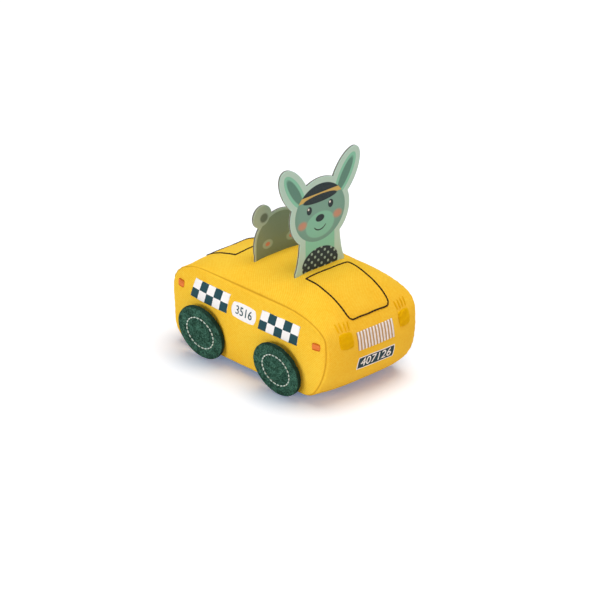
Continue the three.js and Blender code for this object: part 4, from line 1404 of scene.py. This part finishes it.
class TOYCAR_OT_cards(bpy.types.Operator):
    """Cut and print the two cards in the roof"""

    bl_idname = "toycar.cards"
    bl_label = "Roof cards"

    def execute(self, context):
        settings = context.scene.toy_car
        sizes = settings.card
        colours = settings.colour
        lap = 0.3 * MM
        ears = []
        for side in (-1, 1):
            lean = -side * sizes.ear_lean
            place = (side * sizes.ear_out, sizes.ear_middle)
            ears.append(self.oval(*place, sizes.ear_half, sizes.ear_rise, lean))
        head = self.oval(0.0, sizes.head_middle, sizes.head_half, sizes.head_rise)
        driver = [self.tab(sizes, sizes.neck_half, sizes.head_middle), head, *ears]
        back = self.oval(0.0, sizes.hump_middle, sizes.hump_half, sizes.hump_rise, upper=True)
        bob = self.oval(-sizes.bob_out, sizes.bob_middle, sizes.bob_radius, sizes.bob_radius)
        passenger = [self.tab(sizes, sizes.hump_half, sizes.hump_middle + lap), back, bob]
        self.card(sizes, driver, sizes.driver_x, "driver", driver_finish(colours, sizes))
        self.card(sizes, passenger, sizes.passenger_x, "passenger", passenger_finish(colours, sizes))
        return {"FINISHED"}

    def oval(self, y, h, half, rise, lean=0.0, upper=False):
        """Points of an oval, across the card and above the roof."""
        count = 72
        turn, slide = math.cos(lean), math.sin(lean)
        points = []
        for i in range(count // 2 + 1 if upper else count):
            angle = math.tau * i / count
            a, b = half * math.cos(angle), rise * math.sin(angle)
            points.append((y + a * turn - b * slide, h + a * slide + b * turn))
        return points

    def tab(self, sizes, half, top):
        """The tab in the roof, and the stem above it that runs from the tab's width to its own."""
        steps = 10

        def curve(side):
            points = []
            for i in range(steps + 1):
                t = i / steps
                y = (1 - t) ** 2 * sizes.tab_half + (2 * t * (1 - t) + t * t) * half
                h = 2 * t * (1 - t) * top / 4 + t * t * top
                points.append((side * y, h))
            return points

        right = [(sizes.tab_half, -sizes.tab_depth), *curve(1)]
        left = [(-sizes.tab_half, -sizes.tab_depth), *curve(-1)]
        return right + left[::-1]

    def card(self, sizes, shapes, x, word, material):
        """The shapes joined into one card, with soft edges."""
        name = f"{word}_cutout"
        whole = None
        for points in shapes:
            bm = bmesh.new()
            low = x - sizes.thickness / 2
            ring = [bm.verts.new((low, y, sizes.roof + h)) for y, h in points]
            face = bm.faces.new(ring)
            made = bmesh.ops.extrude_face_region(bm, geom=[face], use_keep_orig=True)
            moved = [part for part in made["geom"] if isinstance(part, bmesh.types.BMVert)]
            bmesh.ops.translate(bm, verts=moved, vec=(sizes.thickness, 0, 0))
            bmesh.ops.recalc_face_normals(bm, faces=bm.faces)
            part = object_from(bm, name)
            if whole is None:
                whole = part
                continue
            join = whole.modifiers.new("join", "BOOLEAN")
            join.operation = "UNION"
            join.solver = "EXACT"
            join.object = part
            joined = shaped(whole)
            whole.modifiers.clear()
            whole.data = joined
            bpy.data.objects.remove(part)
        bm = bmesh.new()
        bm.from_mesh(whole.data)
        bpy.data.objects.remove(whole)
        bmesh.ops.remove_doubles(bm, verts=bm.verts, dist=0.02 * MM)
        bmesh.ops.dissolve_limit(bm, angle_limit=0.002, verts=bm.verts, edges=bm.edges)
        bm.normal_update()
        rims = []
        for edge in bm.edges:
            flat = [abs(face.normal.x) > 0.9 for face in edge.link_faces]
            if len(flat) == 2 and flat[0] != flat[1]:
                rims.append(edge)
        bmesh.ops.bevel(bm, geom=rims, offset=sizes.edge, segments=3, profile=0.5, affect="EDGES",
                        material=-1)
        bmesh.ops.triangulate(bm, faces=[f for f in bm.faces if len(f.verts) > 4])
        bmesh.ops.recalc_face_normals(bm, faces=bm.faces)
        made = piece_from(bm, name, material, smooth=False)
        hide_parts(f"{word}_card")


# Corners of the checker bands on the side, and middles of the markers, along the car and up in millimetres
CHECKERS = {
    "rear": ((-39.6, 31.9), (-12.1, 31.7), (-36.7, 42.0), (-11.0, 41.8)),
    "front": ((11.2, 31.8), (38.1, 31.3), (12.4, 41.5), (38.9, 41.4)),
}
MARKERS = {"rear": (-48.0, 35.3), "front": (49.6, 34.0)}
# Faces along and up each printed patch
CHECKER_GRID = (40, 14)
BADGE_GRID = (28, 14)
PLATE_GRID = (44, 14)


class TOYCAR_OT_side_trim(bpy.types.Operator):
    """Print the checker bands and badges, and embroider the side markers"""

    bl_idname = "toycar.side_trim"
    bl_label = "Side trim"

    def execute(self, context):
        settings = context.scene.toy_car
        sizes = settings.trim
        colours = settings.colour
        cloth = Cloth()
        checker = checker_finish(colours, sizes.checks)
        white = ink_finish("badge_ink", colours.white)
        dark = ink_finish("digit_ink", colours.checker, 0.2)
        orange = thread_finish("marker_thread", colours.marker, 0.4, (1.0, 0.1, 0.1))
        edge = thread_finish("marker_edge_thread", colours.marker_deep, 0.4, (1.0, 0.1, 0.1))
        flat = flat_lift(sizes.ink)
        for side, word in ((-1, "right"), (1, "left")):
            towards = (0.0, -float(side), 0.0)
            for end, corners in CHECKERS.items():
                patch(cloth, f"checker_{end}_{word}", CHECKER_GRID, side_quad(corners), towards, flat,
                      sizes.backing, checker)
            oval = side_block(sizes.badge_x, sizes.badge_z, sizes.badge_width, sizes.badge_tall, 0.5)
            patch(cloth, f"badge_{word}", BADGE_GRID, oval, towards, flat, sizes.backing, white)
            digits(cloth, f"badge_number_{word}", sizes.badge_number, sizes.badge_type,
                   Vector((sizes.badge_x, 0.0, sizes.badge_z)), Vector((-side, 0, 0)), towards, sizes, dark)
            for end, (x, z) in MARKERS.items():
                self.marker(cloth, f"{end}_{word}", (x * MM, z * MM), towards, sizes, orange, edge)
        return {"FINISHED"}

    def marker(self, cloth, word, middle, towards, sizes, fill, edge):
        """A block of upright satin threads between two strokes."""
        reach = 0.46
        threads = round(sizes.marker_width / sizes.satin)
        block = side_block(*middle, sizes.marker_width, sizes.marker_tall, 0.5)
        patch(cloth, f"marker_{word}", (threads * 4, 10), block, towards,
              satin_lift(threads, sizes.satin_rise, sizes.satin / 3), sizes.backing, fill)
        bm = bmesh.new()
        for way in (-1, 1):
            ends = []
            for along in (-1, 1):
                x = middle[0] + along * sizes.marker_width * reach
                z = middle[1] + way * sizes.marker_tall * reach
                ends.append(cloth.drop((x, 0.0, z), towards))
            (start, normal), (end, _) = ends
            add_stitch(bm, start, end, normal, sizes.line, 0.6)
        piece_from(bm, f"marker_edge_{word}", edge)


def digits(cloth, name, text, size, middle, right, towards, sizes, material):
    """A printed number laid on a print. Its long edges are cut, so that it can follow the cloth."""
    longest = 1.2 * MM
    curve = bpy.data.curves.new(name, "FONT")
    curve.body = text
    curve.size = size
    curve.align_x = "CENTER"
    curve.align_y = "CENTER"
    curve.resolution_u = 6
    drawn = bpy.data.objects.new(name, curve)
    bpy.context.scene.collection.objects.link(drawn)
    mesh = shaped(drawn)
    bpy.data.objects.remove(drawn)
    bm = bmesh.new()
    bm.from_mesh(mesh)
    bpy.data.meshes.remove(mesh)
    bmesh.ops.remove_doubles(bm, verts=bm.verts, dist=0.001 * MM)
    long_edges = [e for e in bm.edges if e.calc_length() > longest]
    bmesh.ops.subdivide_edges(bm, edges=long_edges, cuts=2)
    bmesh.ops.triangulate(bm, faces=bm.faces)
    for vert in bm.verts:
        flat = middle + right * vert.co.x + Vector((0, 0, 1)) * vert.co.y
        hit, normal = cloth.drop(flat, towards)
        vert.co = hit + normal * (sizes.ink + sizes.digit_ink)
    face_outwards(bm, towards)
    bmesh.ops.solidify(bm, geom=bm.faces[:], thickness=sizes.digit_ink)
    bmesh.ops.recalc_face_normals(bm, faces=bm.faces)
    piece_from(bm, name, material, smooth=False)


class TOYCAR_OT_front_trim(bpy.types.Operator):
    """Print the grille and number plate, and embroider the headlights"""

    bl_idname = "toycar.front_trim"
    bl_label = "Front trim"

    def execute(self, context):
        settings = context.scene.toy_car
        sizes = settings.trim
        colours = settings.colour
        cloth = Cloth()
        towards = (-1.0, 0.0, 0.0)
        self.grille(cloth, towards, sizes, colours)
        self.plate(cloth, towards, sizes, colours)
        gold = thread_finish("gold_thread", colours.lamp, 0.42, (0.1, 1.0, 0.15))
        stroke = thread_finish("ray_thread", colours.ray, 0.42, (0.1, 1.0, 0.15))
        for side, word in ((-1, "right"), (1, "left")):
            self.headlight(cloth, side, word, towards, sizes, gold, stroke)
        return {"FINISHED"}

    def grille(self, cloth, towards, sizes, colours):
        """Upright bars of thread, as one corrugated block."""
        tall = sizes.grille_top - sizes.grille_bottom
        middle = (sizes.grille_top + sizes.grille_bottom) / 2
        block = front_block(sizes.grille_side, middle, sizes.grille_width, tall, 1.0)
        patch(cloth, "grille", (sizes.grille_bars * 8, 16), block, towards,
              bar_lift(sizes.grille_bars, sizes.ink, sizes.grille_rise), sizes.backing,
              grille_finish(colours, sizes.grille_bars))

    def plate(self, cloth, towards, sizes, colours):
        """The number plate and its digits."""
        tall = sizes.plate_top - sizes.plate_bottom
        middle = (sizes.plate_top + sizes.plate_bottom) / 2
        block = front_block(0.0, middle, sizes.plate_width, tall, 0.9)
        patch(cloth, "number_plate", PLATE_GRID, block, towards, flat_lift(sizes.ink), sizes.backing,
              plate_finish(colours, sizes.plate_width, tall))
        digits(cloth, "plate_number", sizes.plate_number, sizes.plate_type, Vector((0.0, 0.0, middle)),
               Vector((0, 1, 0)), towards, sizes, ink_finish("plate_digit_ink", colours.white))

    def headlight(self, cloth, side, word, towards, sizes, gold, stroke):
        """A padded block of upright satin threads, with four strokes above it."""
        gap = 0.5 * MM
        splay = 0.8
        threads = round(sizes.lamp_width / sizes.satin)
        place = side * sizes.lamp_side
        block = front_block(place, sizes.lamp_height, sizes.lamp_width, sizes.lamp_tall, 0.55, threads)
        patch(cloth, f"headlight_{word}", (threads * 4, 20), block, towards,
              satin_lift(threads, sizes.satin_rise, sizes.satin / 3), sizes.backing, gold)
        bm = bmesh.new()
        foot = sizes.lamp_height + sizes.lamp_tall * 0.5 + gap
        for share in (-0.75, -0.25, 0.25, 0.75):
            y = place + share * sizes.lamp_width / 2
            low, normal = cloth.drop((0.0, y, foot), towards)
            high, _ = cloth.drop((0.0, y + share * splay * MM, foot + sizes.ray), towards)
            add_stitch(bm, low, high, normal, sizes.ray_thread, 0.2)
        piece_from(bm, f"headlight_rays_{word}", stroke)


# Stitched lines from above, in millimetres: ends along the car, half widths there, shift of the far end
PANEL_LINES = {
    "bonnet_line": {"near": 23.6, "far": 55.0, "half_near": 14.3, "half_far": 13.8, "shift": -0.8},
    "rear_window_line": {"near": -27.8, "far": -52.0, "half_near": 14.2, "half_far": 13.0, "shift": 0.0},
}


class TOYCAR_OT_lines(bpy.types.Operator):
    """Stitch the bonnet and the rear window lines"""

    bl_idname = "toycar.lines"
    bl_label = "Stitched lines"

    def execute(self, context):
        settings = context.scene.toy_car
        cloth = Cloth()
        thread = thread_finish("outline_thread", settings.colour.outline, 0.4, (0.7, 0.7, 0.3))
        down = (0.0, 0.0, -1.0)
        for name, panel in PANEL_LINES.items():
            flat = [Vector((x * MM, y * MM, 0.0)) for x, y in self.plan(**panel)]
            ground = [cloth.drop(p, down)[0] for p in resample(flat, 1.0 * MM)]
            stitched_line(cloth, name, ground, down, settings.trim, thread)
        return {"FINISHED"}

    def plan(self, near, far, half_near, half_far, shift, corner=2.5, half_steps=8):
        """Points of a panel line: sharp corners at the roof and round ones at the far end."""
        forward = far > near
        inset = far - corner if forward else far + corner
        right = corner_arc(inset, shift + corner - half_far, corner, *((-90, 0) if forward else (270, 180)))
        left = corner_arc(inset, shift + half_far - corner, corner, *((0, 90) if forward else (180, 90)))
        across = [(near, half_near * (1 - i / half_steps)) for i in range(2 * half_steps + 1)]
        middle = (near + inset) / 2
        bow_right = (middle, shift - (half_near + half_far) / 2 - abs(shift) / 2)
        bow_left = (middle, shift + (half_near + half_far) / 2 - abs(shift) / 2)
        return [(near, -half_near), bow_right, *right, *left, bow_left, *across]


class TOYCAR_OT_running_gear(bpy.types.Operator):
    """Finish the plastic, rubber and steel pieces of the chassis"""

    bl_idname = "toycar.running_gear"
    bl_label = "Running gear"

    def execute(self, context):
        colours = context.scene.toy_car.colour
        finishes = {
            "black_plastic": moulded_finish("black_plastic", colours.plastic, 0.52),
            "motor_plastic": moulded_finish("motor_plastic", colours.case, 0.45),
            "gear_plastic": moulded_finish("gear_plastic", colours.gear, 0.4),
            "tyre_rubber": moulded_finish("tyre_rubber", colours.rubber, 0.85, 0.12),
            "steel": steel_finish(colours),
        }
        slots = {m["slot"]: m.get("nodes", []) for m in frame["record"]["materials"]}
        for slot, finish in finishes.items():
            for node in slots[slot]:
                for holder in frame["nodes"][node].material_slots:
                    holder.material = finish
        return {"FINISHED"}


class TOYCAR_OT_stage(bpy.types.Operator):
    """Lay the floor and set the light and the camera"""

    bl_idname = "toycar.stage"
    bl_label = "Studio"

    def execute(self, context):
        settings = context.scene.toy_car
        stage = settings.stage
        self.floor(settings.colour)
        self.light(context, stage)
        self.camera(context, stage)
        context.scene.view_settings.view_transform = "Standard"
        return {"FINISHED"}

    def floor(self, colours):
        """A wide sheet of pale paper under the car."""
        bm = bmesh.new()
        bmesh.ops.create_grid(bm, x_segments=8, y_segments=8, size=6.0)
        floor = object_from(bm, "studio_floor")
        floor.data.materials.append(floor_finish(colours))

    def light(self, context, stage):
        """Even light from all round, and three soft suns."""
        context.scene.world = studio_world(stage)
        for name in ("key", "side", "nose"):
            lamp = bpy.data.lights.new(name, "SUN")
            lamp.energy = getattr(stage, f"{name}_light")
            lamp.angle = getattr(stage, f"{name}_spread")
            lamp.color = getattr(stage, f"{name}_colour")
            sun = bpy.data.objects.new(name, lamp)
            sun.rotation_euler = Vector(getattr(stage, f"{name}_from")).to_track_quat("Z", "Y").to_euler()
            context.scene.collection.objects.link(sun)

    def camera(self, context, stage):
        """The view of the photograph: the car's origin falls on its pixel at the given scale."""
        lens = bpy.data.cameras.new("camera")
        lens.sensor_width = 36.0
        lens.sensor_fit = "AUTO"
        lens.lens = stage.pixels * stage.distance / FRAME_PIXELS * lens.sensor_width
        turn, rise = stage.azimuth, stage.elevation
        right = Vector((math.cos(turn), math.sin(turn), 0))
        back = Vector((math.sin(turn) * math.cos(rise), -math.cos(turn) * math.cos(rise), math.sin(rise)))
        up = back.cross(right)
        middle = FRAME_PIXELS / 2
        across = (middle - stage.origin_u) / stage.pixels
        down = (middle - stage.origin_v) / stage.pixels
        target = right * across - up * down
        camera = bpy.data.objects.new("camera", lens)
        camera.location = target + back * stage.distance
        camera.rotation_euler = back.to_track_quat("Z", "Y").to_euler()
        lens.clip_start = 0.01
        lens.clip_end = 50.0
        context.scene.collection.objects.link(camera)
        context.scene.camera = camera


class TOYCAR_PT_panel(bpy.types.Panel):
    """Lists the pieces of the toy car"""

    bl_idname = "TOYCAR_PT_panel"
    bl_label = "Toy Car"
    bl_space_type = "VIEW_3D"
    bl_region_type = "UI"
    bl_category = "Toy Car"

    def draw(self, context):
        for operator in OPERATORS:
            self.layout.operator(operator.bl_idname)


OPERATORS = (
    TOYCAR_OT_stage,
    TOYCAR_OT_cab,
    TOYCAR_OT_discs,
    TOYCAR_OT_cards,
    TOYCAR_OT_side_trim,
    TOYCAR_OT_front_trim,
    TOYCAR_OT_lines,
    TOYCAR_OT_running_gear,
)
GROUPS = (CabSizes, DiscSizes, CardSizes, TrimSizes, CarColours, StageSizes, ToyCar)


def register():
    """Adds the settings, the operators and the panel to Blender."""
    for kind in (*GROUPS, *OPERATORS, TOYCAR_PT_panel):
        bpy.utils.register_class(kind)
    bpy.types.Scene.toy_car = PointerProperty(type=ToyCar)


def unregister():
    """Takes them out again."""
    del bpy.types.Scene.toy_car
    for kind in reversed((*GROUPS, *OPERATORS, TOYCAR_PT_panel)):
        bpy.utils.unregister_class(kind)


def main():
    """Builds the toy, piece by piece."""
    register()
    for operator in OPERATORS:
        group, name = operator.bl_idname.split(".")
        getattr(getattr(bpy.ops, group), name)()


if __name__ == "__main__":
    main()
